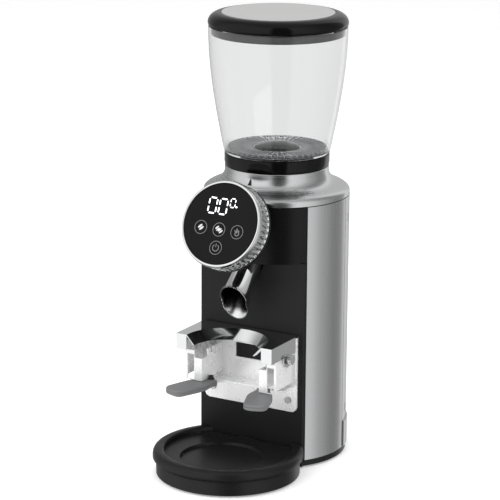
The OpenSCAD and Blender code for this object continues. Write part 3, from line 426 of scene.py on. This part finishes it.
def lathe(outline, centre, out=UP, steps=160, wave=None):
    """A closed outline of (r, h) in mm turned round an axis: centre + r cos a across + r sin a up
    + h out. wave(a, r, h) may return a changed (r, h)."""
    a = np.linspace(0, 2 * math.pi, steps, endpoint=False)[None, :]
    r, h = outline[:, 0][:, None] + 0 * a, outline[:, 1][:, None] + 0 * a
    if wave:
        r, h = wave(a + 0 * r, r, h)
    local = np.stack([r * np.cos(a), r * np.sin(a), h], -1).reshape(-1, 3)
    return np.array(centre) + local @ axes_of(out) * MM, [squares(len(outline), steps)]


def pad(outline, low, high, edge, place, steps=5, seam=0.0):
    """A flat piece between two heights with a rounded rim: at angle s of the rim's quarter circle the
    outline is stepped inwards by edge (1 - sin s) and stands edge (1 - cos s) inside the face. seam
    is the depth of a small groove half way up. place turns (x, y, height) in mm into metres."""
    s = np.linspace(0, math.pi / 2, steps)
    inset, rise = edge * (1 - np.sin(s)), edge * (1 - np.cos(s))
    middle = (low + high) / 2
    if seam:
        inset = np.concatenate([inset, [0, seam, 0], inset[::-1]])
        rise = np.concatenate([low + rise, [middle - seam, middle, middle + seam], (high - rise)[::-1]])
    else:
        inset = np.concatenate([inset, inset[::-1]])
        rise = np.concatenate([low + rise, (high - rise)[::-1]])
    ahead = np.roll(outline, -1, 0) - np.roll(outline, 1, 0)
    normal = np.stack([ahead[:, 1], -ahead[:, 0]], 1) / np.linalg.norm(ahead, axis=1, keepdims=True)
    rings = outline[None] - inset[:, None, None] * normal[None]
    heights = np.broadcast_to(rise[:, None, None], rings.shape[:2] + (1,))
    points = place(np.concatenate([rings, heights], -1).reshape(-1, 3))
    count, last = len(outline), len(outline) * (len(rise) - 1)
    caps = [np.arange(count)[None, ::-1], last + np.arange(count)[None]]
    return points, [squares(len(rise), count, close_rows=False), *caps]


def make_piece(name, parts, slot, body, replaces=(), sharp=40, material=None):
    """Put (points, face blocks) parts in one mesh, merge doubles, turn the faces outwards, shade it
    smooth up to the sharp angle, and let it ride on its body."""
    faces, start = [], 0
    for points, blocks in parts:
        for block in blocks:
            faces += (np.asarray(block) + start).tolist()
        start += len(points)
    mesh = bpy.data.meshes.new(name)
    mesh.from_pydata(np.vstack([points for points, _ in parts]).tolist(), [], faces)
    shell = bmesh.new()
    shell.from_mesh(mesh)
    bmesh.ops.remove_doubles(shell, verts=shell.verts, dist=1e-7)
    bmesh.ops.recalc_face_normals(shell, faces=shell.faces)
    shell.to_mesh(mesh)
    shell.free()
    mesh.shade_smooth()
    mesh.set_sharp_from_angle(angle=math.radians(sharp))
    mesh.materials.append(material or finishes[slot])
    piece = bpy.data.objects.new(name, mesh)
    bpy.context.scene.collection.objects.link(piece)
    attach(piece, body)
    if replaces:
        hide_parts(*replaces)
    print(f"{name}: {len(mesh.vertices)} points, {len(mesh.polygons)} faces, on {body}")
    return piece


# %% [markdown]
# ## Rounded copies of CAD shells
# A moulded or pressed part has no knife edges: each edge is a small round that catches the light. For
# shells whose CAD shape is otherwise right, the quickest way is a copy of the CAD mesh, merged and
# cleaned of the lines across its flat faces, with a Bevel modifier of the real edge radius.

# %% Copy and bevel
def soften(node, radius, angle=35, look=None):
    """Stand a bevelled copy in for a CAD node. radius is the edge radius in mm; edges that turn by less
    than angle are shaded smooth. look names a finish other than the one of the node's slot."""
    source = frame["nodes"][node].data
    points = np.empty(len(source.vertices) * 3)
    source.vertices.foreach_get("co", points)
    corners = np.empty(len(source.loops), int)
    source.loops.foreach_get("vertex_index", corners)
    piece = make_piece(node + "_soft", [(points.reshape(-1, 3), [corners.reshape(-1, 3)])], slot_of[node],
                       body_of[node], [node], sharp=angle, material=look and finishes[look])
    shell = bmesh.new()
    shell.from_mesh(piece.data)
    bmesh.ops.dissolve_limit(shell, angle_limit=math.radians(0.3), verts=shell.verts, edges=shell.edges)
    shell.to_mesh(piece.data)
    shell.free()
    bevel = piece.modifiers.new("edge_round", "BEVEL")
    bevel.width = radius * MM
    bevel.segments = 3
    bevel.limit_method = "ANGLE"
    bevel.angle_limit = math.radians(angle)
    return piece


for node, radius in {"base": 0.5, "front_panel": 0.6, "funnel_plate": 0.35, "rear_cover": 0.25,
                     "dial_housing": 0.3, "adjusting_ring": 0.4, "right_side_skin": 0.2,
                     "left_side_skin": 0.2}.items():
    soften(node, radius)
soften("head_cover", 0.4, look="head_black")
for node in ("rest_plate", "rest_fork", "right_upright", "left_upright"):
    soften(node, 0.35, look="satin_sheet")
soften("tray", 0.6, angle=50)

# %% [markdown]
# ## The dial
# The dial is a chromed ring that turns round a fixed black display. Its front lip is a bright polished
# chamfer. Its side is knurled: rows of slanted scallops run round it, which catch the light one by one.
# The knurl is one formula on the ring's radius, which is lighter and truer than cutting each groove.

# %% Knurled ring
glass_radius = 36.7
grip_radius = 40.0
grip_depth = 18.0
grip_edge = 0.8
knurl_count = 48
knurl_depth = 1.5
knurl_pitch = 26.0
knurl_front = -3.6


def knurl(a, r, h):
    """Where r is at the grip's radius, take away knurl_depth times the larger of two crossing waves,
    each (1/2 + 1/2 cos(count a +- 2 pi h / pitch)) squared, faded out towards both ends."""
    twist = 2 * math.pi * h / knurl_pitch
    wave = [(0.5 + 0.5 * np.cos(knurl_count * a + side * twist)) ** 2 for side in (-1, 1)]
    rise = np.clip((knurl_front - h) / 1.6, 0, 1) * np.clip((h + grip_depth - 0.4) / 1.5, 0, 1)
    outer = np.clip((r - grip_radius + grip_edge) / grip_edge, 0, 1)
    return r - knurl_depth * np.maximum(*wave) * rise * outer, h


side_heights = np.linspace(-grip_depth + grip_edge, knurl_front - 0.3, 44)
grip_outline = np.concatenate([
    [[glass_radius + 0.3, -grip_depth], [grip_radius - grip_edge, -grip_depth]],
    np.stack([np.full_like(side_heights, grip_radius), side_heights], 1),
    rounded([(grip_radius, -3.0, 0.8), (grip_radius - 0.9, 0.3, 0.9), (glass_radius + 0.8, 0.6, 0.4),
             (glass_radius + 0.3, 0.2, 0.2)], 6)])
make_piece("dial_grip", [lathe(grip_outline, dial_centre, dial_axis, steps=knurl_count * 14, wave=knurl)],
           "dial_metal", "dial", ["dial_ring"], sharp=50)

# %% [markdown]
# The display is a black glass disc with a ground edge. Its digits shine from below, so they are thin
# glowing pads a hair above the glass, and the touch fields are printed rings with small pictures.

# %% Display glass
glass_outline = rounded([(0, -2, 0), (glass_radius, -2, 0.2), (glass_radius, 0, 0.5), (0, 0.0, 0)], 6)
make_piece("dial_glass", [lathe(glass_outline, dial_centre, dial_axis)], "black_glass",
           body_of["display_glass"], ["display_glass"])

# %% Digits and touch fields
def on_dial(points):
    """Dial coordinates (right, up, out) in mm to the row frame in metres."""
    return np.array(dial_centre) + points @ axes_of(dial_axis) * MM


print_low, print_high = 0.01, 0.07


def print_pad(outline):
    """A pad 0.06 mm thick that lies on the glass."""
    return pad(np.asarray(outline), print_low, print_high, 0.02, on_dial, steps=2)


def bar_outline(start, end, width):
    """A bar with pointed round ends between two points."""
    start, end = np.array(start, float), np.array(end, float)
    along = (end - start) / np.linalg.norm(end - start)
    side = np.array((-along[1], along[0])) * width / 2
    tip = along * width / 2
    corners = [start - side + tip, end - side - tip, end, end + side - tip, start + side + tip, start]
    return rounded([(*corner, width * 0.18) for corner in corners], 4)


def zero_digit(left, low, width, height, stroke, gap):
    """Six lit bars of a seven-segment zero; the middle bar is dark."""
    x0, x1 = left + stroke / 2, left + width - stroke / 2
    y0, y1 = low + stroke / 2, low + height - stroke / 2
    ym = (y0 + y1) / 2
    ends = [((x0 + gap, y0), (x1 - gap, y0)), ((x0 + gap, y1), (x1 - gap, y1))]
    ends += [((x, y0 + gap), (x, ym - gap)) for x in (x0, x1)]
    ends += [((x, ym + gap), (x, y1 - gap)) for x in (x0, x1)]
    return [print_pad(bar_outline(start, end, stroke)) for start, end in ends]


def ring_pad(x, y, radius, width, start=0.0, end=2 * math.pi, steps=64):
    """A flat ring, or a part of one, from angle start to end."""
    a = np.linspace(start, end, steps, endpoint=end - start < 6.28)
    inner, outer = radius - width / 2, radius + width / 2
    section = np.array([(inner, print_low), (outer, print_low), (outer, print_high), (inner, print_high)])
    r, h = section[:, 0][:, None], section[:, 1][:, None] + 0 * a[None]
    points = np.stack([x + r * np.cos(a), y + r * np.sin(a), h], -1).reshape(-1, 3)
    closed = end - start >= 6.28
    return on_dial(points), [squares(4, steps, True, closed)]


def oval(x, y, half_long, half_short, turn, steps=28):
    """An ellipse whose long axis is turned by an angle."""
    a = np.linspace(0, 2 * math.pi, steps, endpoint=False)
    along, across = half_long * np.cos(a), half_short * np.sin(a)
    c, s = math.cos(turn), math.sin(turn)
    return np.stack([x + along * c - across * s, y + along * s + across * c], 1)


def glow(name, colour, strength):
    """Light from the display, a little uneven across each pad."""
    material = finish(name, colour, 0.4, 0, (300, 300, 300), spread=0.05)
    shader = material.node_tree.nodes["Principled BSDF"]
    tint = material.node_tree.nodes["Mix"]
    material.node_tree.links.new(tint.outputs["Result"], shader.inputs["Emission Color"])
    shader.inputs["Emission Strength"].default_value = strength
    return material


lit_white = glow("lit_white", (0.95, 0.95, 1.0), 0.95)
print_light = glow("print_light", (0.62, 0.61, 0.62), 0.12)
print_grey = glow("print_grey", (0.22, 0.21, 0.22), 0.04)

large_zero = {"low": 7.9, "width": 9.2, "height": 15.2, "stroke": 1.35, "gap": 0.9}
small_zero = {"low": 15.4, "width": 5.7, "height": 8.8, "stroke": 0.95, "gap": 0.55}
digits = zero_digit(-16.2, **large_zero) + zero_digit(-5.4, **large_zero) + zero_digit(5.4, **small_zero)
digits += [print_pad(oval(12.5, 16.6, 0.95, 0.85, 0))]
make_piece("lit_digits", digits, "black_glass", body_of["display_glass"], material=lit_white)

field_radius = 6.0
field_line = 0.42
fields = {"one_bean": (-18.9, -5.4), "two_beans": (-0.2, -5.3), "by_hand": (18.2, -5.3),
          "power": (0.4, -21.8)}
rings = [ring_pad(x, y, field_radius, field_line) for x, y in fields.values()]
make_piece("touch_rings", rings, "black_glass", body_of["display_glass"], material=print_grey)


def bean(x, y, length, turn=0.75):
    """A coffee bean: two half ovals on either side of its crease."""
    gap = 0.23 * length
    dx, dy = -math.sin(turn) * gap, math.cos(turn) * gap
    return [print_pad(oval(x + side * dx, y + side * dy, length / 2, gap * 0.8, turn)) for side in (-1, 1)]


x, y = fields["two_beans"]
beans = bean(*fields["one_bean"], 5.2) + bean(x - 1.5, y + 0.9, 4.3) + bean(x + 1.6, y - 0.9, 4.3)
make_piece("bean_prints", beans, "black_glass", body_of["display_glass"], material=print_light)

x, y = fields["by_hand"]
hand = [print_pad(bar_outline((x - 0.3, y - 1.2), (x - 0.3, y + 3.4), 1.1)),
        ring_pad(x + 0.3, y - 1.4, 1.9, 0.7),
        print_pad(bar_outline((x - 2.6, y + 1.6), (x - 1.2, y - 0.2), 0.8)),
        print_pad(bar_outline((x + 0.6, y + 1.6), (x + 2.4, y + 1.0), 0.8))]
x, y = fields["power"]
power = [ring_pad(x, y, 3.0, 0.6, math.radians(125), math.radians(415), 48),
         print_pad(bar_outline((x, y + 0.4), (x, y + 3.8), 0.6))]
make_piece("hand_and_power_prints", hand + power, "black_glass", body_of["display_glass"],
           material=print_grey)

# %% [markdown]
# ## Hopper, guard and lid
# All of these are turned shapes. The hopper is blow-moulded clear plastic: its wall bulges along a sine
# and keeps one thickness. Below, a clear guard with radial ribs lies on its floor round a black dome; light bars
# on the rib crests are painted highlights, the glints of the clear ribs.

# %% Hopper wall
ring_low, ring_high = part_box("adjusting_ring")
hopper_low, hopper_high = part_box("hopper")
ring_top = ring_high.z / MM
hopper_base, hopper_rim = ring_top + 0.3, hopper_high.z / MM
foot_radius = (ring_high.x - ring_low.x) / 2 / MM + 0.3
mouth_radius = (hopper_high.x - hopper_low.x) / 2 / MM
neck_low = hopper_low.z / MM
neck_radius = foot_radius - 5.7
hopper_wall = 2.0


def hopper_line(inset, low, high, steps=40):
    """The wall's radius is foot + (mouth - foot) sin(90 deg t), with t from 0 at the foot to 1 at the rim.
    The line starts at the height low, and its last point is at the height high."""
    t = np.linspace((low - hopper_base) / (hopper_rim - hopper_base), 1, steps)
    height = hopper_base + (hopper_rim - hopper_base) * t
    radius = foot_radius + (mouth_radius - foot_radius) * np.sin(math.pi / 2 * t) - inset
    height[-1] = high
    return np.stack([radius, height], 1)


floor_top = hopper_base + 1.6
hopper_outline = np.concatenate([
    [[neck_radius - 2.3, neck_low], [neck_radius - 0.2, neck_low], [neck_radius, neck_low + 0.3],
     [neck_radius, hopper_base], [foot_radius - 0.5, hopper_base]],
    hopper_line(0, hopper_base, hopper_rim - 0.5)[1:],
    [[mouth_radius - 0.5, hopper_rim], [mouth_radius - hopper_wall + 0.5, hopper_rim]],
    hopper_line(hopper_wall, floor_top + 1.5, hopper_rim - 0.5)[::-1],
    [[foot_radius - hopper_wall - 1.4, floor_top], [neck_radius - 2.3, floor_top]]])
make_piece("hopper_shell", [lathe(hopper_outline, burr_axis)], "clear_hopper", "hopper_unit", ["hopper"])

# %% Guard and dome
guard_low, guard_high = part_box("finger_guard")
guard_base = guard_low.z / MM
guard_radius = (guard_high.x - guard_low.x) / 2 / MM
dome_radius = 21.0
rib_count = 48


def rib_wave(a, r, h):
    """The guard's top falls from rib to rib by a raised cosine, outside the dome and inside the rim."""
    swell = np.clip((r - dome_radius - 1.5) / 3, 0, 1) * np.clip((guard_radius - 1.2 - r) / 3, 0, 1)
    valley = 1 - (0.5 + 0.5 * np.cos(rib_count * a)) ** 4
    top = np.clip(h - guard_base - 0.6, 0, 1)
    return r, h - 1.7 * swell * valley * (top > 0)


guard_r = np.linspace(guard_radius - 0.6, dome_radius - 2, 18)
guard_outline = np.concatenate([
    [[guard_radius, guard_base], [guard_radius, guard_base + 2.4]],
    np.stack([guard_r, guard_base + 2.0 + 0.9 * np.clip((guard_r - dome_radius) / 12, 0, 1)], 1),
    [[dome_radius - 2, guard_base]]])
make_piece("ribbed_guard", [lathe(guard_outline, burr_axis, steps=rib_count * 10, wave=rib_wave)],
           "clear_guard", "hopper_unit", ["finger_guard"])

# Painted highlights: a light bar on each rib's crest stands in for the glints that the clear ribs catch; it is not
# a part of its own.
rib_angle = np.arange(rib_count) * 2 * math.pi / rib_count
rib_run, rib_rise, rib_half = (dome_radius + 2.0, guard_radius - 0.8), (2.35, 3.3), 0.32
rib_section = np.array([(r, side * rib_half, guard_base + up) for r, rise in zip(rib_run, rib_rise)
                        for side, up in ((-1, 1.0), (1, 1.0), (1, rise), (-1, rise))])
c, s = np.cos(rib_angle)[:, None], np.sin(rib_angle)[:, None]
along, across, height = rib_section.T
rib_points = np.stack([along * c - across * s, along * s + across * c, height + 0 * c], -1).reshape(-1, 3)
rib_box = np.array([(0, 1, 5, 4), (1, 2, 6, 5), (2, 3, 7, 6), (3, 0, 4, 7), (3, 2, 1, 0), (4, 5, 6, 7)])
rib_faces = (rib_box[None] + 8 * np.arange(rib_count)[:, None, None]).reshape(-1, 4)
make_piece("guard_rib_highlights", [(burr_axis + rib_points * MM, [rib_faces])], "clear_guard", "hopper_unit",
           material=finishes["rib_painted_highlight"])

dome_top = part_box("guard_dome")[1].z / MM
dome_base = guard_base + 2.1
dome_arc = np.linspace(0, math.pi / 2, 14)
dome_outline = np.concatenate([
    [[0, dome_base], [dome_radius - 0.4, dome_base], [dome_radius, dome_base + 0.4]],
    np.stack([(dome_radius - 0.4) * np.cos(dome_arc), dome_base + 0.8 + (dome_top - dome_base - 0.8)
              * np.sin(dome_arc) ** 1.6], 1)])
make_piece("dome_cap", [lathe(dome_outline, burr_axis)], "black_gloss", "hopper_unit", ["guard_dome"])

# %% Lid
lid_low, lid_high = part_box("lid_ring")
disc_low, disc_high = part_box("lid_disc")
lid_radius = (lid_high.x - lid_low.x) / 2 / MM
disc_radius = (disc_high.x - disc_low.x) / 2 / MM
plug_low, lid_top = lid_low.z / MM, lid_high.z / MM
lid_base = plug_low + 8.4
plug_radius = mouth_radius - hopper_wall - 1.6
shoulder = np.linspace(0, math.pi / 2, 22)
lid_outline = np.concatenate([
    [[plug_radius - 2, plug_low], [plug_radius - 0.3, plug_low], [plug_radius, plug_low + 0.3],
     [plug_radius, lid_base], [lid_radius - 1.8, lid_base], [lid_radius - 0.6, lid_base + 0.5],
     [lid_radius - 0.1, lid_base + 1.6]],
    np.stack([disc_radius + 0.6 + (lid_radius - disc_radius - 0.6) * np.cos(shoulder) ** 0.85,
              lid_base + 2.7 + (lid_top - 0.5 - lid_base - 2.7) * np.sin(shoulder) ** 1.1], 1),
    [[disc_radius + 0.35, lid_top - 0.7], [disc_radius + 0.35, lid_top - 1.6], [0, lid_top - 1.7],
     [0, lid_top - 4.2], [plug_radius - 2, lid_top - 4.2]]])
make_piece("lid_rim", [lathe(lid_outline, burr_axis, steps=200)], "black_gloss", "lid", ["lid_ring"])
disc_outline = rounded([(0, lid_top - 1.6, 0), (disc_radius, lid_top - 1.6, 0.1),
                        (disc_radius, lid_top, 0.35), (0, lid_top, 0)])
make_piece("lid_inlay", [lathe(disc_outline, burr_axis, steps=200)], "lid_grey", "lid", ["lid_disc"])

# %% [markdown]
# ## Collar
# The collar is spun from sheet steel: a rolled rim, then a flare that is a Bezier curve of radius and
# height. A small raised triangle on its front is the mark that the grind setting is read against.

# %% Spun collar
collar_low, collar_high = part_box("collar")
body_top, collar_top = collar_low.z / MM, collar_high.z / MM
collar_radius = (collar_high.x - collar_low.x) / 2 / MM
collar_neck = foot_radius - 0.7
rim_height = 3.4
sheet = 1.2


def flare_line(inset, steps=48):
    """Cubic Bezier from the rim to the neck: (1-t)^3 a + 3t(1-t)^2 b + 3t^2(1-t) c + t^3 d."""
    t = np.linspace(0, 1, steps)
    weights = np.stack([(1 - t) ** 3, 3 * t * (1 - t) ** 2, 3 * t * t * (1 - t), t ** 3], 1)
    radii = weights @ [collar_radius, collar_radius - 1.1, collar_neck + 0.8, collar_neck]
    heights = weights @ [rim_height, rim_height + 6.6, rim_height + 6.2, collar_top - body_top - 4.4]
    return np.stack([radii - inset, body_top + heights - inset * (1 - t)], 1)


collar_outline = np.concatenate([
    [[collar_radius - 5.9, body_top], [collar_radius - 0.5, body_top], [collar_radius, body_top + 0.5],
     [collar_radius, body_top + rim_height - 0.8]],
    flare_line(0)[1:], [[collar_neck, collar_top - 0.3], [collar_neck - 0.3, collar_top],
                        [collar_neck - sheet, collar_top]],
    flare_line(sheet)[::-1],
    [[collar_radius - sheet, body_top + sheet], [collar_radius - 5.9, body_top + sheet]]])
make_piece("spun_collar", [lathe(collar_outline, burr_axis, steps=220)], "brushed_steel", body_of["collar"],
           ["collar"], sharp=30, material=finishes["collar_steel"])

# %% Setting mark
def on_collar(points):
    """(x, z, out): wrapped round the collar at the angle x / neck radius from the front, on the flare's
    own radius at each height."""
    line = flare_line(0)
    angle = points[:, 0] / collar_neck
    radius = np.interp(points[:, 1], line[:, 1], line[:, 0]) + points[:, 2]
    return burr_axis + MM * np.stack([radius * np.sin(angle), -radius * np.cos(angle), points[:, 1]], 1)


mark_low = collar_top - 10.4
mark_height = 5.4
mark_rows = np.linspace(0, mark_height, 8)
mark_half = 1.9 - 1.6 * mark_rows / mark_rows[-1]
mark = np.concatenate([np.stack([mark_half, mark_low + mark_rows], 1),
                       np.stack([-mark_half, mark_low + mark_rows], 1)[::-1]])
make_piece("setting_mark", [pad(mark, -0.5, 0.35, 0.05, on_collar, steps=2)], "black_satin",
           body_of["collar"])

# %% [markdown]
# ## Chute
# The chute starts as a round tube and ends in a tall mouth that is pinched at its waist. Every point is
# a mix of a point on the tube's circle and the point at the same angle of the mouth's curve, so the
# wall changes evenly from one to the other. The inner wall is the same surface, one sheet smaller.

# %% Chute tube
panel_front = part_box("front_panel")[0].y / MM
head_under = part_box("head_cover")[0].z / MM
mouth_centre = np.array([0, panel_front - 32.2, head_under - 35.3])
mouth_half_width, mouth_half_height = 14.2, 18.9
chute_lean, mouth_tilt = math.radians(41), math.radians(23)
tube_radius, flare_length, tube_length = 11.8, 32.2, 52.0


def chute_wall(inset, turns=96, rows=44):
    """Rows from the top of the tube to the mouth. s is the distance up the leaning axis; the share of
    the mouth's curve is (1 - s / flare) to the power 1.25, and nothing above the flare."""
    angle = np.linspace(0, 2 * math.pi, turns, endpoint=False)[None]
    s = np.concatenate([[tube_length], np.linspace(flare_length + 4, 0, rows - 1)])[:, None]
    share = np.clip(1 - s / flare_length, 0, 1) ** 1.25
    up_axis = np.array([0, math.sin(chute_lean), math.cos(chute_lean)])
    side_axis = np.array([0, -math.cos(chute_lean), math.sin(chute_lean)])
    round_way = np.cos(angle)[..., None] * (1, 0, 0) + np.sin(angle)[..., None] * side_axis
    circle = mouth_centre + s[..., None] * up_axis + (tube_radius - inset) * round_way
    waist = 1 - 0.1 * np.exp(-((np.sin(angle) + 0.08) / 0.24) ** 2)
    mouth_up = np.array([0, -math.sin(mouth_tilt), math.cos(mouth_tilt)])
    mouth = (mouth_centre + ((mouth_half_width - inset) * np.cos(angle) * waist)[..., None] * (1, 0, 0)
             + ((mouth_half_height - inset) * np.sin(angle))[..., None] * mouth_up)
    return (1 - share[..., None]) * circle + share[..., None] * mouth


outer, inner = chute_wall(0), chute_wall(1.0)
rim_out = np.array([0, -math.cos(mouth_tilt), -math.sin(mouth_tilt)]) * 0.35
rim = (0.5 * (outer[-1] + inner[-1]) + rim_out)[None]
chute_points = np.concatenate([outer, 0.8 * outer[-1:] + 0.2 * rim + 0.8 * rim_out, rim,
                               0.8 * inner[-1:] + 0.2 * rim + 0.8 * rim_out, inner[::-1]])
chute = make_piece("chute_spout", [(chute_points.reshape(-1, 3) * MM, [squares(*chute_points.shape[:2])])],
                   "polished_steel", body_of["chute"], ["chute"], sharp=60)

# %% [markdown]
# Deep inside, the tube sees only its own shaded walls. The faces of the inner sheet get a dark colour that is
# painted shade, and it turns to a bright painted reflection towards the lower lip, by a ramp on the height of each
# point.

# %% Painted shade inside the chute
# Painted shade: the inner sheet's metal colour of 0.09 stands for shade inside the tube, not for a darker steel.
inside_painted_shade = finish("inside_painted_shade", (0.09, 0.09, 0.09), 0.25, 1, (300, 300, 300), spread=0.1,
                      rough_spread=0.03)
tree = inside_painted_shade.node_tree
where = tree.nodes.new("ShaderNodeTexCoord")
split = tree.nodes.new("ShaderNodeSeparateXYZ")
tree.links.new(where.outputs["Object"], split.inputs[0])
# Painted reflection: this ramp blends a bright colour in near the lower lip, where the inside catches light.
lip_painted_highlight = tree.nodes.new("ShaderNodeMapRange")
lip_painted_highlight.inputs["From Min"].default_value = (mouth_centre[2] - 7.5) * MM
lip_painted_highlight.inputs["From Max"].default_value = (mouth_centre[2] - 11.5) * MM
tree.links.new(split.outputs["Z"], lip_painted_highlight.inputs["Value"])
bright = tree.nodes.new("ShaderNodeMix")
bright.data_type = "RGBA"
bright.inputs["B"].default_value = (0.85, 0.855, 0.86, 1)
tree.links.new(lip_painted_highlight.outputs["Result"], bright.inputs["Factor"])
tree.links.new(tree.nodes["Mix"].outputs["Result"], bright.inputs["A"])
tree.links.new(bright.outputs["Result"], tree.nodes["Principled BSDF"].inputs["Base Color"])
chute.data.materials.append(inside_painted_shade)
centres = np.empty(len(chute.data.polygons) * 3)
chute.data.polygons.foreach_get("center", centres)
to_inner, to_outer = (np.linalg.norm(centres.reshape(-1, 1, 3) / MM - wall.reshape(1, -1, 3)[:, ::3],
                                     axis=2).min(1) for wall in (inner, outer))
chute.data.polygons.foreach_set("material_index", (to_inner < to_outer).astype(int))
print("dark faces:", int((to_inner < to_outer).sum()))

# %% [markdown]
# ## Prong sleeves
# Two grey rubber sleeves cover the prongs that hold a portafilter. Each is a flat pad with a soft rim
# and a fine moulding line round its middle, in the shape of a paddle with a narrow neck.

# %% Sleeves
prong_out, prong_back, splay = 24.0, panel_front - 16.0, math.radians(20)
sleeve_low, sleeve_high = (corner.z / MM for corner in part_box("right_sleeve"))
paddle = rounded([(-6.3, 8, 1.2), (6.3, 8, 1.2), (6.4, 14.5, 3), (12.0, 27, 7), (10.8, 58.4, 8),
                  (-10.8, 58.4, 8), (-12.0, 27, 7), (-6.4, 14.5, 3)], 9)


def on_prong(side):
    """Puts (across, forwards, height) on the right (+1) or left (-1) prong, which points forwards and
    turns by the splay angle."""
    def place(points):
        x, y = points[:, 0], -points[:, 1]
        turned_x = x * math.cos(splay) - y * math.sin(splay)
        turned_y = x * math.sin(splay) + y * math.cos(splay)
        turned = np.stack([turned_x, turned_y, points[:, 2]], 1)
        return (turned + (prong_out, prong_back, 0)) * (side * MM, MM, MM)
    return place


for side, node in ((1, "right_sleeve"), (-1, "left_sleeve")):
    sleeve = pad(paddle, sleeve_low, sleeve_high, 1.5, on_prong(side), steps=6, seam=0.28)
    make_piece(node + "_pad", [sleeve], "sleeve_grey", body_of[node], [node], sharp=60)

# %% Screws at the sleeve necks
def neck_screw(side):
    """A small dark screw head with a washer that holds the sleeve on its prong, with a socket in it."""
    washer = [(0, -0.8), (3.1, -0.8), (3.1, 0.1), (2.3, 0.4)]
    head = [(2.2, 2.2), (1.8, 2.6)]
    socket = [(1.1, 2.6), (1.0, 1.4), (0, 1.4)]
    centre = on_prong(side)(np.array([(0, 10.5, sleeve_high + 0.7)]))[0]
    return lathe(np.array(washer + head + socket), centre, steps=48)


make_piece("neck_screws", [neck_screw(side) for side in (1, -1)], "screw_steel", body_of["right_sleeve"],
           sharp=30, material=finishes["rubber_black"])
